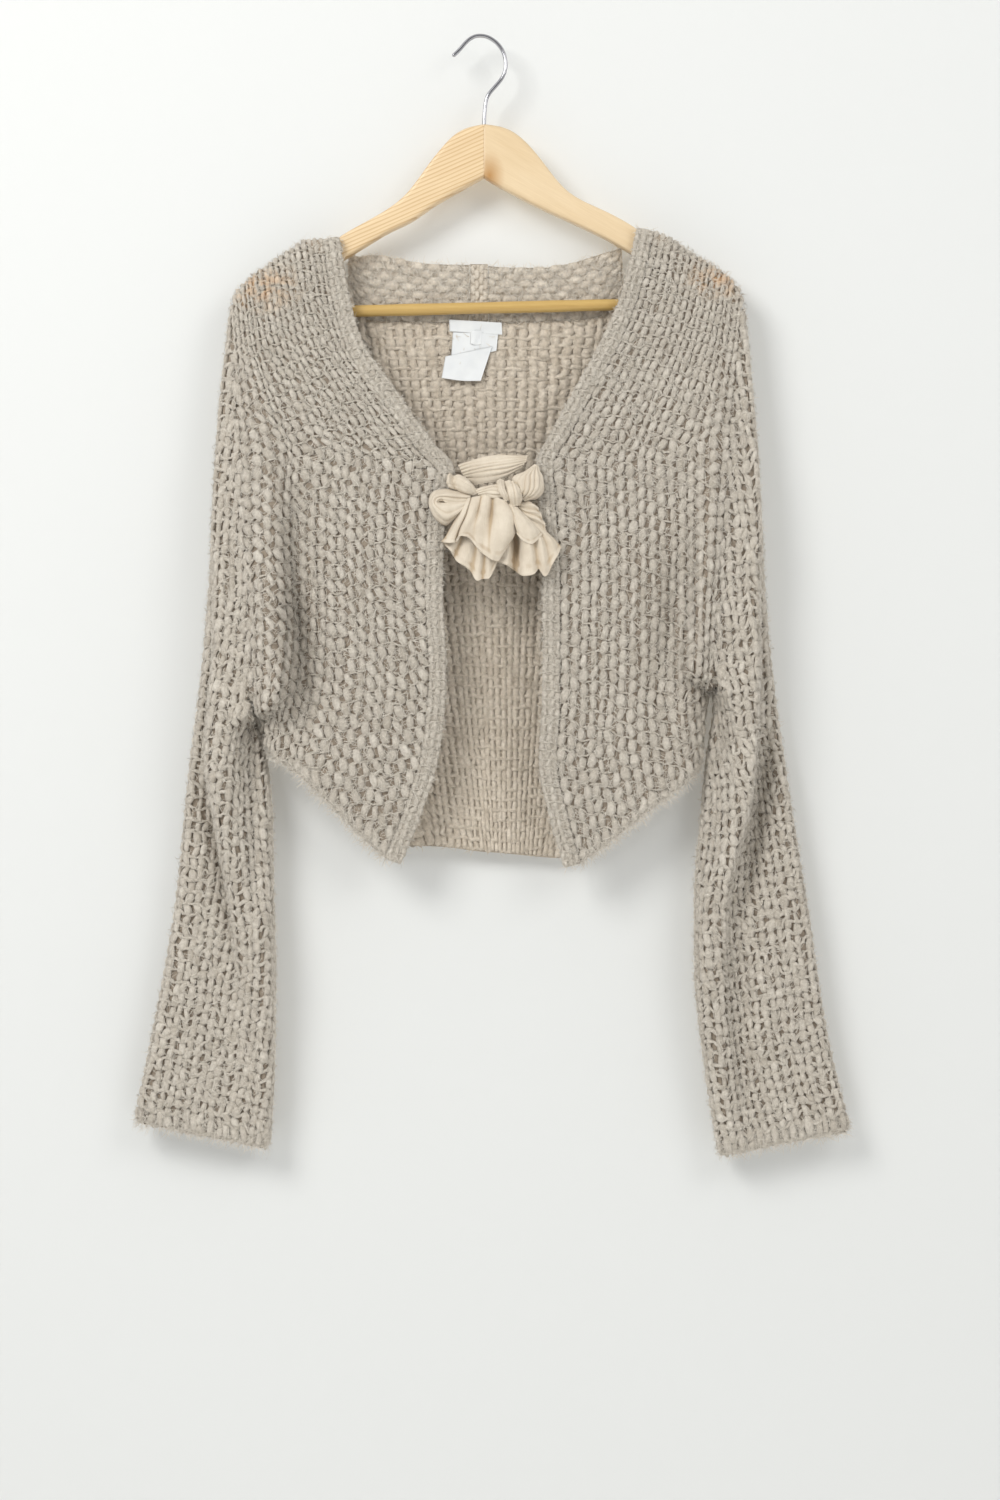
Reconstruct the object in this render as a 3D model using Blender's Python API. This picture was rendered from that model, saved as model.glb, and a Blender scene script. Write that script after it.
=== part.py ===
"""A cropped, wide-sleeved mohair cardigan tied with a chiffon bow, on a wooden hanger.

Frame: metres, Z up, the garment's front towards -Y and the viewer's right at +X.
The origin is the inside top of the hanger's wire hook, where a knob or rail carries it.
Sizes in this file are millimetres, and M turns them into metres. A surface is worked
out as the middle of its cloth wall, and the wall is laid half on each side of it.

Each half of the cardigan is knitted sideways in columns that cross it from its lower
edge (hem, underarm, inner fold of the sleeve) to its upper edge (shoulder, outer fold
of the sleeve). "out" is the distance from the hanger's middle plane, to either side.
"""
import math

import bpy
import numpy as np

M = 0.001

# Cloth
KNIT_WALL = 4.5
SEAM_GAP = 0.3
ARMHOLE_ROOM = 0.75
SHOULDER_TIP_ROOM = 0.6
BAND_WIDTH = 14.0
BAND_THICKNESS = 7.5
BAND_ROOM = 0.7
BAND_SIDES = 8
BAND_SQUARENESS = 0.72
COLLAR_WALL = 5.0
JOIN_X = -1.0
JOIN_HALF_WIDTH = 8.0
JOIN_TOP_Z = -200.0
UNDERARM_RADIUS = 24.0
CHIFFON_WALL = 1.2
LABEL_WALL = 0.8

# Hanger
ARM_THICKNESS = 13.0
ARM_ROUNDING = 2.6
BAR_RADIUS = 5.2
BORE_CLEARANCE = 0.3
HOOK_RADIUS = 1.75
HOOK_SEAT_DEPTH = 16.0
HANGER_MIDDLE_X = 3.6
CROWN_TOP_Z = -78.5
ARM_STATIONS = 34

# Places up a knitted column, from its low end to its high end, closer where it bends most.
# Pieces that meet at a seam share them.
FRONT_SHARES = (
    0, 0.02, 0.05, 0.09, 0.14, 0.20, 0.27, 0.34, 0.41, 0.48, 0.54,
    0.60, 0.64, 0.67, 0.71, 0.77, 0.83, 0.89, 0.94, 0.97, 0.99, 1,
)
BACK_SHARES = (0, 0.03, 0.09, 0.20, 0.36, 0.54, 0.71, 0.85, 0.94, 0.98, 1)
FRONT_ROWS = 10
SLEEVE_STATIONS = 14
BACK_ROW_STEP = 0.5


def table(columns, rows):
    """A short table as {column name: array}."""
    return dict(zip(columns.split(), np.array(rows, float).T))


# Knitted columns of each half, from the front edge (first row) past the armhole to the cuff
COLUMN_NAMES = "low_out low_z high_out high_z"
ARMHOLE_ROW = 7
COLUMNS = {
    "left": table(COLUMN_NAMES, [
        (70, -737, 124, -181),
        (92, -719, 140, -182),
        (125, -686, 163, -194),
        (158, -656, 184, -207),
        (174, -647, 197, -216),
        (184, -637, 208, -225),
        (191, -620, 215, -234),
        (195, -603, 220, -248),
        (200, -602, 223, -275),
        (204, -611, 228, -319),
        (205, -625, 232, -373),
        (200, -642, 235, -431),
        (190, -694, 244, -551),
        (187, -756, 256, -649),
        (185, -832, 269, -774),
        (186, -912, 288, -881),
        (190, -990, 306, -967),
    ]),
    "right": table(COLUMN_NAMES, [
        (74, -740, 139, -173),
        (94, -727, 156, -180),
        (127, -702, 180, -194),
        (160, -678, 198, -204),
        (179, -663, 210, -212),
        (191, -648, 219, -219),
        (195, -620, 227, -227),
        (201, -591, 232, -239),
        (208, -584, 235, -263),
        (211, -593, 239, -308),
        (210, -614, 244, -368),
        (205, -642, 247, -426),
        (199, -703, 256, -547),
        (194, -764, 272, -667),
        (194, -832, 290, -780),
        (202, -912, 308, -895),
        (215, -996, 328, -975),
    ]),
}

# The outer line of each front edge, from the hem corner up to the neck point
EDGE_NAMES = "share out z"
EDGES = {
    "left": table(EDGE_NAMES, [
        (0.00, 69, -737),
        (0.10, 49, -686),
        (0.19, 35, -638),
        (0.31, 29, -569),
        (0.44, 32, -498),
        (0.55, 30, -435),
        (0.64, 22, -389),
        (0.70, 43, -362),
        (0.79, 76, -315),
        (0.87, 103, -275),
        (0.94, 115, -235),
        (1.00, 124, -181),
    ]),
    "right": table(EDGE_NAMES, [
        (0.00, 74, -740),
        (0.09, 61, -694),
        (0.18, 52, -645),
        (0.28, 55, -591),
        (0.42, 55, -502),
        (0.54, 52, -435),
        (0.64, 49, -385),
        (0.70, 65, -352),
        (0.79, 89, -308),
        (0.87, 111, -266),
        (0.94, 128, -221),
        (1.00, 139, -173),
    ]),
}

# How far the front layer stands in front of the hanger's middle plane, down the chest and
# down the sleeve, with the line between the two
BASE = table("z chest sleeve side_out side_soft", [
    (-1000, 24, 8, 190, 30),
    (-740, 24, 8, 190, 30),
    (-620, 29, 8, 190, 30),
    (-500, 31, 9, 196, 40),
    (-400, 29, 11, 204, 45),
    (-320, 23, 12, 212, 45),
    (-250, 15, 12, 222, 45),
    (-170, 11, 11, 232, 45),
])

# The sleeve hangs in one thick roll under the shoulder. Its outer side is a sharp crest,
# from behind which the flat outer panel of the sleeve comes out and widens to the cuff.
ROLL_NAMES = "z inner inner_soft crest crest_soft height"
ROLLS = {
    "left": table(ROLL_NAMES, [
        (-1000, 186, 12, 208, 20, 0),
        (-925, 186, 12, 209, 20, 2),
        (-860, 186, 12, 211, 13, 6),
        (-801, 189, 14, 217, 8, 13),
        (-754, 194, 20, 224, 7, 20),
        (-701, 199, 26, 233, 7, 27),
        (-642, 199, 26, 240, 7, 32),
        (-596, 176, 18, 237, 7, 30),
        (-556, 168, 13, 234, 7, 27),
        (-502, 171, 13, 233, 8, 24),
        (-431, 172, 17, 238, 11, 18),
        (-368, 176, 30, 250, 16, 10),
        (-261, 195, 30, 262, 20, 1),
    ]),
    "right": table(ROLL_NAMES, [
        (-1000, 211, 12, 231, 20, 2),
        (-908, 200, 12, 221, 16, 6),
        (-823, 194, 12, 216, 10, 11),
        (-772, 197, 14, 218, 8, 16),
        (-736, 203, 20, 224, 7, 22),
        (-690, 208, 26, 236, 7, 28),
        (-642, 209, 26, 242, 7, 31),
        (-605, 190, 18, 244, 7, 29),
        (-563, 182, 13, 245, 7, 26),
        (-502, 190, 13, 245, 8, 22),
        (-431, 194, 17, 251, 10, 16),
        (-368, 197, 30, 262, 16, 9),
        (-261, 206, 30, 274, 20, 1),
    ]),
}

# The shaded trough between the chest and the sleeve roll
TROUGH_NAMES = "z out width depth"
TROUGHS = {
    "left": table(TROUGH_NAMES, [
        (-670, 160, 18, 0),
        (-620, 155, 20, 8),
        (-560, 152, 22, 12),
        (-500, 154, 22, 10),
        (-440, 156, 22, 5),
        (-380, 160, 20, 0),
    ]),
    "right": table(TROUGH_NAMES, [
        (-650, 176, 16, 0),
        (-610, 166, 18, 7),
        (-560, 160, 20, 10),
        (-500, 166, 20, 8),
        (-440, 172, 20, 4),
        (-380, 176, 20, 0),
    ]),
}

# Soft vertical waves of the back layer: where each lies, how wide and how far it stands out
BACK_WAVES = table("x width height", [
    (-288, 26, 3.0),
    (-222, 30, 4.5),
    (-128, 34, 3.5),
    (-40, 40, -2.5),
    (62, 38, 3.0),
    (150, 30, -3.0),
    (236, 30, 4.0),
    (300, 24, -2.0),
])
WAVE_TOP_Z = -200
WAVE_FADE = 150
BACK_LEVEL = table("z level", [
    (-1000, 9.0),
    (-700, 11.5),
    (-450, 13.5),
    (-260, 12.0),
    (-170, 11.0),
])

# Radius of the fold at the upper edge (shoulder, then the sleeve's outer fold), and how
# far it is closed: beside the neck the two layers lie apart, with the hanger between them
UPPER_FOLD = table("row radius closed", [
    (0, 7, 0.0),
    (0.9, 7, 0.0),
    (1.5, 8, 1.0),
    (5, 8, 1.0),
    (7, 12, 1.0),
    (10, 16, 1.0),
    (12, 13, 1.0),
    (13, 9, 1.0),
    (16, 8, 1.0),
])
# Radius of the fold at the lower edge, and how far that edge is closed: the hem is open
LOWER_FOLD = table("row radius closed", [
    (0, 8, 0.0),
    (4, 12, 0.0),
    (5, 16, 0.15),
    (6, 20, 0.6),
    (7, UNDERARM_RADIUS, 1.0),
    (12, 18, 1.0),
    (14, 9, 1.0),
    (16, 8, 1.0),
])

# Columns of the back between the armholes. The first and last rows meet the sleeves.
BACK_COLUMNS = table("low_x low_z high_x high_z", [
    (-195, -603, -220, -248),
    (-184, -637, -208, -225),
    (-150, -668, -184, -207),
    (-105, -708, -154, -189),
    (-72, -722, -131, -183),
    (-48, -722, -120, -222),
    (-30, -723, -97, -251),
    (0, -727, -50, -253),
    (15, -728, 0, -254),
    (35, -730, 52, -252),
    (55, -732, 104, -249),
    (72, -733, 130, -222),
    (95, -722, 144, -176),
    (135, -695, 171, -188),
    (165, -672, 198, -204),
    (191, -648, 219, -219),
    (201, -591, 232, -239),
])

# The same two folds along the back, by the number of rows from the nearer armhole
BACK_FOLDS = table("from_side radius lower_closed", [
    (0, 12, 1.0),
    (0.15, 11.9, 1.0),
    (0.8, 10.6, 0.5),
    (1.6, 8.8, 0.0),
    (2, 8, 0.0),
    (4, 7, 0.0),
    (8, 7, 0.0),
])
# The back's shoulders fold over the hanger, and between these rows its edge is a cut neck
NECK_START_ROW = 3.4
NECK_EASE_ROWS = 0.5

# The stand-up back collar: the row of the back panel that each part of its seam lies on,
# and its free top edge
COLLAR_NAMES = "back_row top_x top_z"
COLLARS = {
    "left": table(COLLAR_NAMES, [
        (5.0, -118, -189),
        (5.5, -109, -193),
        (6.0, -94, -192),
        (6.5, -72, -195.5),
        (7.0, -49, -199.5),
        (7.5, -25, -200.5),
        (7.81, -9.4, -200.5),
    ]),
    "right": table(COLLAR_NAMES, [
        (8.15, 7.4, -201.5),
        (8.5, 26, -203),
        (9.0, 52, -203),
        (9.5, 79, -199.5),
        (10.0, 103, -192.5),
        (10.5, 118, -188),
        (11.0, 127, -186),
    ]),
}
COLLAR_LEAN = 2.5
COLLAR_SEAM_GAP = 0.6
JOIN_SEAM_GAP = 1.8
SEAM_Z = -254.0

# Each half of the hanger: its top and underside lines, from the middle to the tip
ARM_NAMES = "x top_z low_z"
ARMS = {
    "left": table(ARM_NAMES, [
        (3.4, -78.5, -125.8),
        (-17.5, -83.5, -137.5),
        (-28.5, -92.8, -143.8),
        (-39, -105.3, -149.8),
        (-50, -119.5, -157.5),
        (-61, -136.5, -165.5),
        (-79.5, -152.6, -173.5),
        (-97.5, -163.3, -184.5),
        (-124, -178.0, -200.8),
        (-142, -191.6, -213.5),
        (-192, -219.5, -247.0),
        (-204, -228.5, -255.0),
        (-210, -237.0, -253.0),
    ]),
    "right": table(ARM_NAMES, [
        (3.8, -78.5, -125.8),
        (24.5, -82.0, -138.5),
        (37.5, -91.0, -144.8),
        (48, -101.7, -150.6),
        (60, -117.2, -156.2),
        (72, -133.6, -161.5),
        (85, -143.6, -167.6),
        (112, -156.2, -180.4),
        (139, -171.2, -196.2),
        (158, -186.5, -208.5),
        (205, -215.5, -240.5),
        (216, -224.0, -247.5),
        (221, -232.0, -245.0),
    ]),
}
BAR_LEFT = (-199.0, -246.6)
BAR_RIGHT = (211.0, -236.6)

# The hook's wire, from its seat in the crown up and over to its free tip
HOOK_ROUTE = table("x z", [
    (3.6, -92.5),
    (3.6, -78.5),
    (4.6, -62.0),
    (5.9, -54.0),
    (9.6, -48.6),
    (15.5, -42.0),
    (20.2, -36.0),
    (22.6, -30.0),
    (23.2, -24.0),
    (21.6, -15.5),
    (17.6, -8.0),
    (11.2, -2.2),
    (4.0, 1.1),
    (-2.5, 1.4),
    (-8.4, -1.0),
    (-13.6, -5.8),
    (-18.9, -12.2),
    (-24.6, -17.3),
])
HOOK_POINTS = 46

# Labels inside the back neck: corners, clockwise from the upper left, and how far each is
# lifted off the one behind it
LABEL_GAP = 0.5
LABELS = {
    "neck_label": dict(
        upper=((-27.7, -255.0), (19.3, -254.5)), lower=((-27.4, -265.9), (19.6, -265.0)), lift=0.3
    ),
    "care_label": dict(
        upper=((-25.0, -266.4), (16.0, -265.6)), lower=((-26.0, -292.0), (14.0, -290.0)), lift=0.3
    ),
    "care_label_tail": dict(
        upper=((-30.3, -279.0), (10.8, -275.2)), lower=((-34.3, -303.3), (1.4, -308.6)), lift=1.9
    ),
}

# Bow: the knot, then the strap that ties the two front edges, from its left end to its right
KNOT_MIDDLE = (18.0, -43.8, -399.0)
KNOT_HALF = (8.5, 9.0, 13.0)
KNOT_WAVE = 0.07
STRAP = table("x upper_z lower_z lower_shift front", [
    (-21.7, -383.0, -391.0, 0.0, 31.0),
    (-9.1, -380.0, -394.2, -0.6, 32.7),
    (3.4, -378.1, -396.1, -1.3, 33.9),
    (16.0, -376.5, -396.0, -1.9, 34.3),
    (28.6, -375.1, -393.5, -2.5, 33.9),
    (41.1, -373.8, -388.8, -3.2, 32.7),
    (53.7, -372.5, -383.0, -3.8, 31.0),
])
STRAP_PLEATS = 3.5
STRAP_PLEAT_DEPTH = 0.8

# The two ends of the bow: folds from the left edge to the right, at the knot and at the hem
TAIL_NAMES = "across root_x root_z hem_x hem_z root_front hem_front"
TAILS = {
    "bow_tail_left": table(TAIL_NAMES, [
        (0.00, 1.0, -408, -34, -451, 45.4, 46),
        (0.14, 3.0, -409, -30, -460, 45.6, 51),
        (0.26, 5.0, -410, -24, -464, 46.0, 45),
        (0.38, 7.0, -411, -22, -468, 46.5, 51),
        (0.52, 9.0, -411.5, -8, -474, 47.5, 43),
        (0.64, 11.0, -411, -3, -478, 48.0, 53),
        (0.78, 13.0, -410.4, 4, -482, 49.2, 45),
        (0.88, 15.0, -409.6, 9, -484, 50.2, 54),
        (1.00, 17.0, -409.2, 14, -468, 50.4, 48),
    ]),
    "bow_tail_right": table(TAIL_NAMES, [
        (0.00, 20.2, -410.2, 17, -468, 48.5, 42),
        (0.16, 21.8, -409.4, 27, -474, 48.5, 49),
        (0.30, 23.5, -408.8, 36, -478, 49, 42),
        (0.42, 25.0, -407.5, 44, -481, 49, 50),
        (0.56, 27.0, -407, 52, -480, 48, 43),
        (0.70, 29.0, -407, 58, -479, 48, 52),
        (0.84, 31.0, -407, 66, -471, 47, 44),
        (1.00, 33.0, -407, 72, -455, 46, 43),
    ]),
}
TAIL_FLARE = 1.15

# Each loop leaves the knot at its root, turns round its end and comes back behind itself
LOOPS = {
    "bow_loop_upper_left": dict(
        root=(8.4, -398.0), angle=158, length=37, root_half=4.5, end_half=8.0, back=38.5, front=43.5
    ),
    "bow_loop_lower_left": dict(
        root=(5.0, -410.5), angle=191, length=48, root_half=6.0, end_half=15.0, back=38.5, front=43.5
    ),
    "bow_loop_right": dict(
        root=(29.2, -399.5), angle=24, length=35, root_half=6.0, end_half=14.0, back=38.5, front=44.0
    ),
}

# The short ruffle behind the right end
FRILL_ROOT = ((26.0, -404.0), (25.4, -408.6))
FRILL_HEM = ((62.0, -421.0), (48.0, -443.0))
FRILL_FRONT = 40.5
FRILL_WAVES = 1.5
FRILL_WAVE_DEPTH = 1.2


# ---------------------------------------------------------------------------- maths

def slopes(xs, ys):
    """Slopes at the rows that keep a curve from overshooting them."""
    steps, rises = np.diff(xs), np.diff(ys)
    rate = rises / steps
    slope = np.empty_like(ys)
    slope[0], slope[-1] = rate[0], rate[-1]
    before, after = steps[:-1], steps[1:]
    weight_1, weight_2 = 2 * after + before, after + 2 * before
    same = rate[:-1] * rate[1:] > 0
    safe_1 = np.where(same, rate[:-1], 1.0)
    safe_2 = np.where(same, rate[1:], 1.0)
    mean = (weight_1 + weight_2) / (weight_1 / safe_1 + weight_2 / safe_2)
    slope[1:-1] = np.where(same, mean, 0.0)
    return slope


def curve(xs, ys, at):
    """A smooth curve through a table's rows, read at the places `at`."""
    at = np.clip(at, xs[0], xs[-1])
    row = np.clip(np.searchsorted(xs, at) - 1, 0, len(xs) - 2)
    step = xs[row + 1] - xs[row]
    t = (at - xs[row]) / step
    slope = slopes(xs, ys)
    start = (1 + 2 * t) * (1 - t) ** 2 * ys[row] + t * (1 - t) ** 2 * step * slope[row]
    end = t * t * (3 - 2 * t) * ys[row + 1] + t * t * (t - 1) * step * slope[row + 1]
    return start + end


def read(rows, key, name, at):
    """Column `name` of a table, read at the places `at` of its column `key`."""
    return curve(rows[key], rows[name], at)


def ease(t):
    """0 below t = -1/2, 1 above t = 1/2 and smooth between."""
    t = np.clip(t + 0.5, 0, 1)
    return t * t * (3 - 2 * t)


def fold(distance, radius):
    """The rise of a round fold from its edge line, negative past the line."""
    share = np.clip(np.abs(distance) / radius, 0, 1)
    return np.sign(distance) * np.sqrt(1 - (1 - share) ** 2)


# ------------------------------------------------------------- the cardigan's surface

def row_numbers(rows):
    return np.arange(len(rows["low_out"]), dtype=float)


def inset_edge(side, share, inset):
    """Points of a front edge, moved `inset` into the cloth."""
    rows = EDGES[side]
    small = 0.004
    out = read(rows, "share", "out", share)
    z = read(rows, "share", "z", share)
    ahead, behind = np.clip(share + small, 0, 1), np.clip(share - small, 0, 1)
    d_out = read(rows, "share", "out", ahead) - read(rows, "share", "out", behind)
    d_z = read(rows, "share", "z", ahead) - read(rows, "share", "z", behind)
    length = np.hypot(d_out, d_z)
    return out + inset * d_z / length, z - inset * d_out / length


def flat_place(side, row, share):
    """(out, z) of the cloth at a column's row number and its share from low to high."""
    rows = COLUMNS[side]
    index = row_numbers(rows)
    low_out, low_z = curve(index, rows["low_out"], row), curve(index, rows["low_z"], row)
    high_out, high_z = curve(index, rows["high_out"], row), curve(index, rows["high_z"], row)
    edge_out, edge_z = inset_edge(side, share, BAND_WIDTH + SEAM_GAP + BAND_ROOM)
    first_out = rows["low_out"][0] + share * (rows["high_out"][0] - rows["low_out"][0])
    first_z = rows["low_z"][0] + share * (rows["high_z"][0] - rows["low_z"][0])
    fade = np.clip(1 - row / ARMHOLE_ROW, 0, 1)
    out = low_out + share * (high_out - low_out) + fade * (edge_out - first_out)
    z = low_z + share * (high_z - low_z) + fade * (edge_z - first_z)
    length = np.hypot(high_out - low_out, high_z - low_z)
    return out, z, length


def front_level(side, out, z):
    """How far the front layer stands in front of the hanger's middle plane."""
    chest, sleeve = read(BASE, "z", "chest", z), read(BASE, "z", "sleeve", z)
    side_out, side_soft = read(BASE, "z", "side_out", z), read(BASE, "z", "side_soft", z)
    level = sleeve + (chest - sleeve) * ease((side_out - out) / side_soft)
    trough = TROUGHS[side]
    offset = (out - read(trough, "z", "out", z)) / read(trough, "z", "width", z)
    level = level - read(trough, "z", "depth", z) * np.exp(-offset ** 2)
    roll = ROLLS[side]
    inner = ease((out - read(roll, "z", "inner", z)) / read(roll, "z", "inner_soft", z))
    crest = ease((read(roll, "z", "crest", z) - out) / read(roll, "z", "crest_soft", z))
    return level + read(roll, "z", "height", z) * inner * crest


def back_level(x, z):
    """How far the back layer lies behind the hanger's middle plane."""
    level = read(BACK_LEVEL, "z", "level", z)
    fade = np.clip((WAVE_TOP_Z - z) / WAVE_FADE, 0, 1)
    for middle, width, height in zip(*BACK_WAVES.values()):
        level = level + fade * height * np.exp(-((x - middle) / width) ** 2)
    return level


def half_surface(side, row, share, layer):
    """Points of one half's front or back layer, as an array of (x, y, z) in mm."""
    row, share = np.broadcast_arrays(np.asarray(row, float), np.asarray(share, float))
    inside = np.where(share > 1, 2 - share, share)
    inside = np.where(inside < 0, -inside, inside)
    out, z, length = flat_place(side, row, inside)
    x = out if side == "right" else -out
    upper = fold((1 - share) * length, read(UPPER_FOLD, "row", "radius", row))
    folded = read(UPPER_FOLD, "row", "closed", row)
    upper = 1 - folded + folded * upper
    closed = read(LOWER_FOLD, "row", "closed", row)
    lower = fold(share * length, read(LOWER_FOLD, "row", "radius", row))
    lower = 1 - closed + closed * lower
    if layer == "front":
        y = -front_level(side, out, z) * upper * lower
    else:
        y = back_level(x, z) * upper * lower
    return np.stack([x, y, z], -1)


def back_surface(row, share):
    """Points of the back panel between the armholes."""
    row, share = np.broadcast_arrays(np.asarray(row, float), np.asarray(share, float))
    index = np.arange(len(BACK_COLUMNS["low_x"]), dtype=float)
    from_side = np.minimum(row, index[-1] - row)
    neck = ease((from_side - NECK_START_ROW) / NECK_EASE_ROWS)
    inside = np.where(share > 1, share + (1 - neck) * (2 - 2 * share), share)
    low_x = curve(index, BACK_COLUMNS["low_x"], row)
    low_z = curve(index, BACK_COLUMNS["low_z"], row)
    high_x = curve(index, BACK_COLUMNS["high_x"], row)
    high_z = curve(index, BACK_COLUMNS["high_z"], row)
    x = low_x + inside * (high_x - low_x)
    z = low_z + inside * (high_z - low_z)
    length = np.hypot(high_x - low_x, high_z - low_z)
    upper = fold((1 - share) * length, read(BACK_FOLDS, "from_side", "radius", from_side))
    upper = upper + (1 - upper) * neck
    closed = read(BACK_FOLDS, "from_side", "lower_closed", from_side)
    lower = 1 - closed + closed * fold(share * length, UNDERARM_RADIUS)
    return np.stack([x, back_level(x, z) * upper * lower, z], -1)


# ----------------------------------------------------------------------- mesh makers

def material(name, colour, roughness, metallic=0.0):
    made = bpy.data.materials.new(name)
    made.use_nodes = True
    shader = made.node_tree.nodes["Principled BSDF"]
    shader.inputs["Base Color"].default_value = (*colour, 1.0)
    shader.inputs["Roughness"].default_value = roughness
    shader.inputs["Metallic"].default_value = metallic
    return made


def add_mesh(name, points, faces, made_of, smooth=True):
    """An object from points in mm and lists of corner numbers."""
    mesh = bpy.data.meshes.new(name)
    mesh.from_pydata([tuple(p) for p in np.asarray(points) * M], [], faces)
    mesh.materials.append(made_of)
    if smooth:
        mesh.shade_smooth()
    mesh.update()
    thing = bpy.data.objects.new(name, mesh)
    bpy.context.scene.collection.objects.link(thing)
    return thing


def wall_directions(points):
    """Unit directions across a grid of points, from its neighbours along and across."""
    direction = np.cross(np.gradient(points, axis=0), np.gradient(points, axis=1))
    return direction / np.linalg.norm(direction, axis=-1, keepdims=True)


def grid_faces(rows, columns, start, flip, wrap=False):
    """Four-cornered faces of a grid whose points start at number `start`."""
    faces = []
    for i in range(rows - 1):
        for j in range(columns if wrap else columns - 1):
            right = (j + 1) % columns
            a, b = start + i * columns + j, start + i * columns + right
            face = [a, b, b + columns, a + columns]
            faces.append(face[::-1] if flip else face)
    return faces


def add_shell(name, points, thickness, made_of, directions=None):
    """A wall of this thickness with the grid's points at its middle."""
    rows, columns = points.shape[:2]
    directions = wall_directions(points) if directions is None else directions
    first = points + directions * thickness / 2
    second = points - directions * thickness / 2
    count = rows * columns
    faces = grid_faces(rows, columns, 0, True) + grid_faces(rows, columns, count, False)
    rim = [(i, 0) for i in range(rows)]
    rim += [(rows - 1, j) for j in range(1, columns)]
    rim += [(i, columns - 1) for i in range(rows - 2, -1, -1)]
    rim += [(0, j) for j in range(columns - 2, 0, -1)]
    numbers = [i * columns + j for i, j in rim]
    for a, b in zip(numbers, numbers[1:] + numbers[:1]):
        faces.append([a, b, b + count, a + count][::-1])
    both = np.concatenate([first.reshape(-1, 3), second.reshape(-1, 3)])
    return add_mesh(name, both, face_out(both, faces), made_of)


def face_out(points, faces):
    """The faces, all turned round if they enclose a negative volume."""
    volume = 0.0
    for face in faces:
        corner = points[face[0]]
        for a, b in zip(face[1:-1], face[2:]):
            volume += np.dot(corner, np.cross(points[a], points[b]))
    return faces if volume > 0 else [face[::-1] for face in faces]


def add_tube(name, points, directions, thickness, made_of):
    """A sleeve: rings of points at the middle of the wall, open at both ends."""
    rows, columns = points.shape[:2]
    count = rows * columns
    outer = points + directions * thickness / 2
    inner = points - directions * thickness / 2
    faces = grid_faces(rows, columns, 0, False, True)
    faces += grid_faces(rows, columns, count, True, True)
    for end, flip in ((0, True), ((rows - 1) * columns, False)):
        for j in range(columns):
            a, b = end + j, end + (j + 1) % columns
            face = [a, b, b + count, a + count]
            faces.append(face[::-1] if flip else face)
    both = np.concatenate([outer.reshape(-1, 3), inner.reshape(-1, 3)])
    return add_mesh(name, both, face_out(both, faces), made_of)


def add_sweep(name, path, side_axis, front_axis, half_width, half_thickness, made_of):
    """A closed strip with a squarish oval section along a path."""
    rings = []
    for turn in np.linspace(0, 2 * math.pi, BAND_SIDES + 1)[:-1]:
        across, forward = math.cos(turn), math.sin(turn)
        wide = math.copysign(abs(across) ** BAND_SQUARENESS, across)
        deep = math.copysign(abs(forward) ** BAND_SQUARENESS, forward)
        rings.append(path + side_axis * wide * half_width + front_axis * deep * half_thickness)
    points = np.stack(rings, 1)
    rows, columns = points.shape[:2]
    faces = grid_faces(rows, columns, 0, False, True)
    faces.append(list(range(columns))[::-1])
    faces.append([(rows - 1) * columns + j for j in range(columns)])
    flat = points.reshape(-1, 3)
    return add_mesh(name, flat, face_out(flat, faces), made_of)


# ----------------------------------------------------------------------- the cardigan

def surface_directions(place, row, share):
    """Wall directions of a surface given as place(row, share), exact at its edges."""
    d_row, d_share = 0.02, 0.002
    along = place(row + d_row, share) - place(row - d_row, share)
    below = place(row, np.maximum(share - d_share, 0))
    across = place(row, share + d_share) - below
    open_edge = np.linalg.norm(across, axis=-1, keepdims=True) < 1e-6
    across = np.where(open_edge, place(row, share) - below, across)
    direction = np.cross(along, across)
    return direction / np.linalg.norm(direction, axis=-1, keepdims=True)


def seam_step(place, row, share, into):
    """How far a piece keeps back from a seam at this row, counted in rows to the `into` side."""
    step = 0.1
    across = place(row + into * step, share) - place(row, share)
    low, high = place(row, np.array([0.0, 1.0]))
    up = (high - low) / np.linalg.norm(high - low)
    width = np.abs(across[..., 0] * up[2] - across[..., 2] * up[0]) / step
    room = ARMHOLE_ROOM + SHOULDER_TIP_ROOM * share ** 8
    return (SEAM_GAP / 2 + room) / np.maximum(width, 4.0)


def layer_place(side, layer):
    """The place(row, share) function of one layer of one half."""
    return lambda row, share: half_surface(side, row, share, layer)


def add_front(side, knit):
    place = layer_place(side, "front")
    shares = np.array(FRONT_SHARES)[None, :]
    to_armhole = np.linspace(0, 1, FRONT_ROWS)[:, None]
    rows = to_armhole * (ARMHOLE_ROW - seam_step(place, ARMHOLE_ROW, shares, -1))
    rows, shares = np.broadcast_arrays(rows, shares)
    points = place(rows, shares)
    points[..., 1] -= SEAM_GAP / 2
    directions = surface_directions(place, rows, shares)
    directions[-1] = surface_directions(place, ARMHOLE_ROW, shares[-1])
    return add_shell(f"front_{side}", points, KNIT_WALL, knit, directions)


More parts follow.
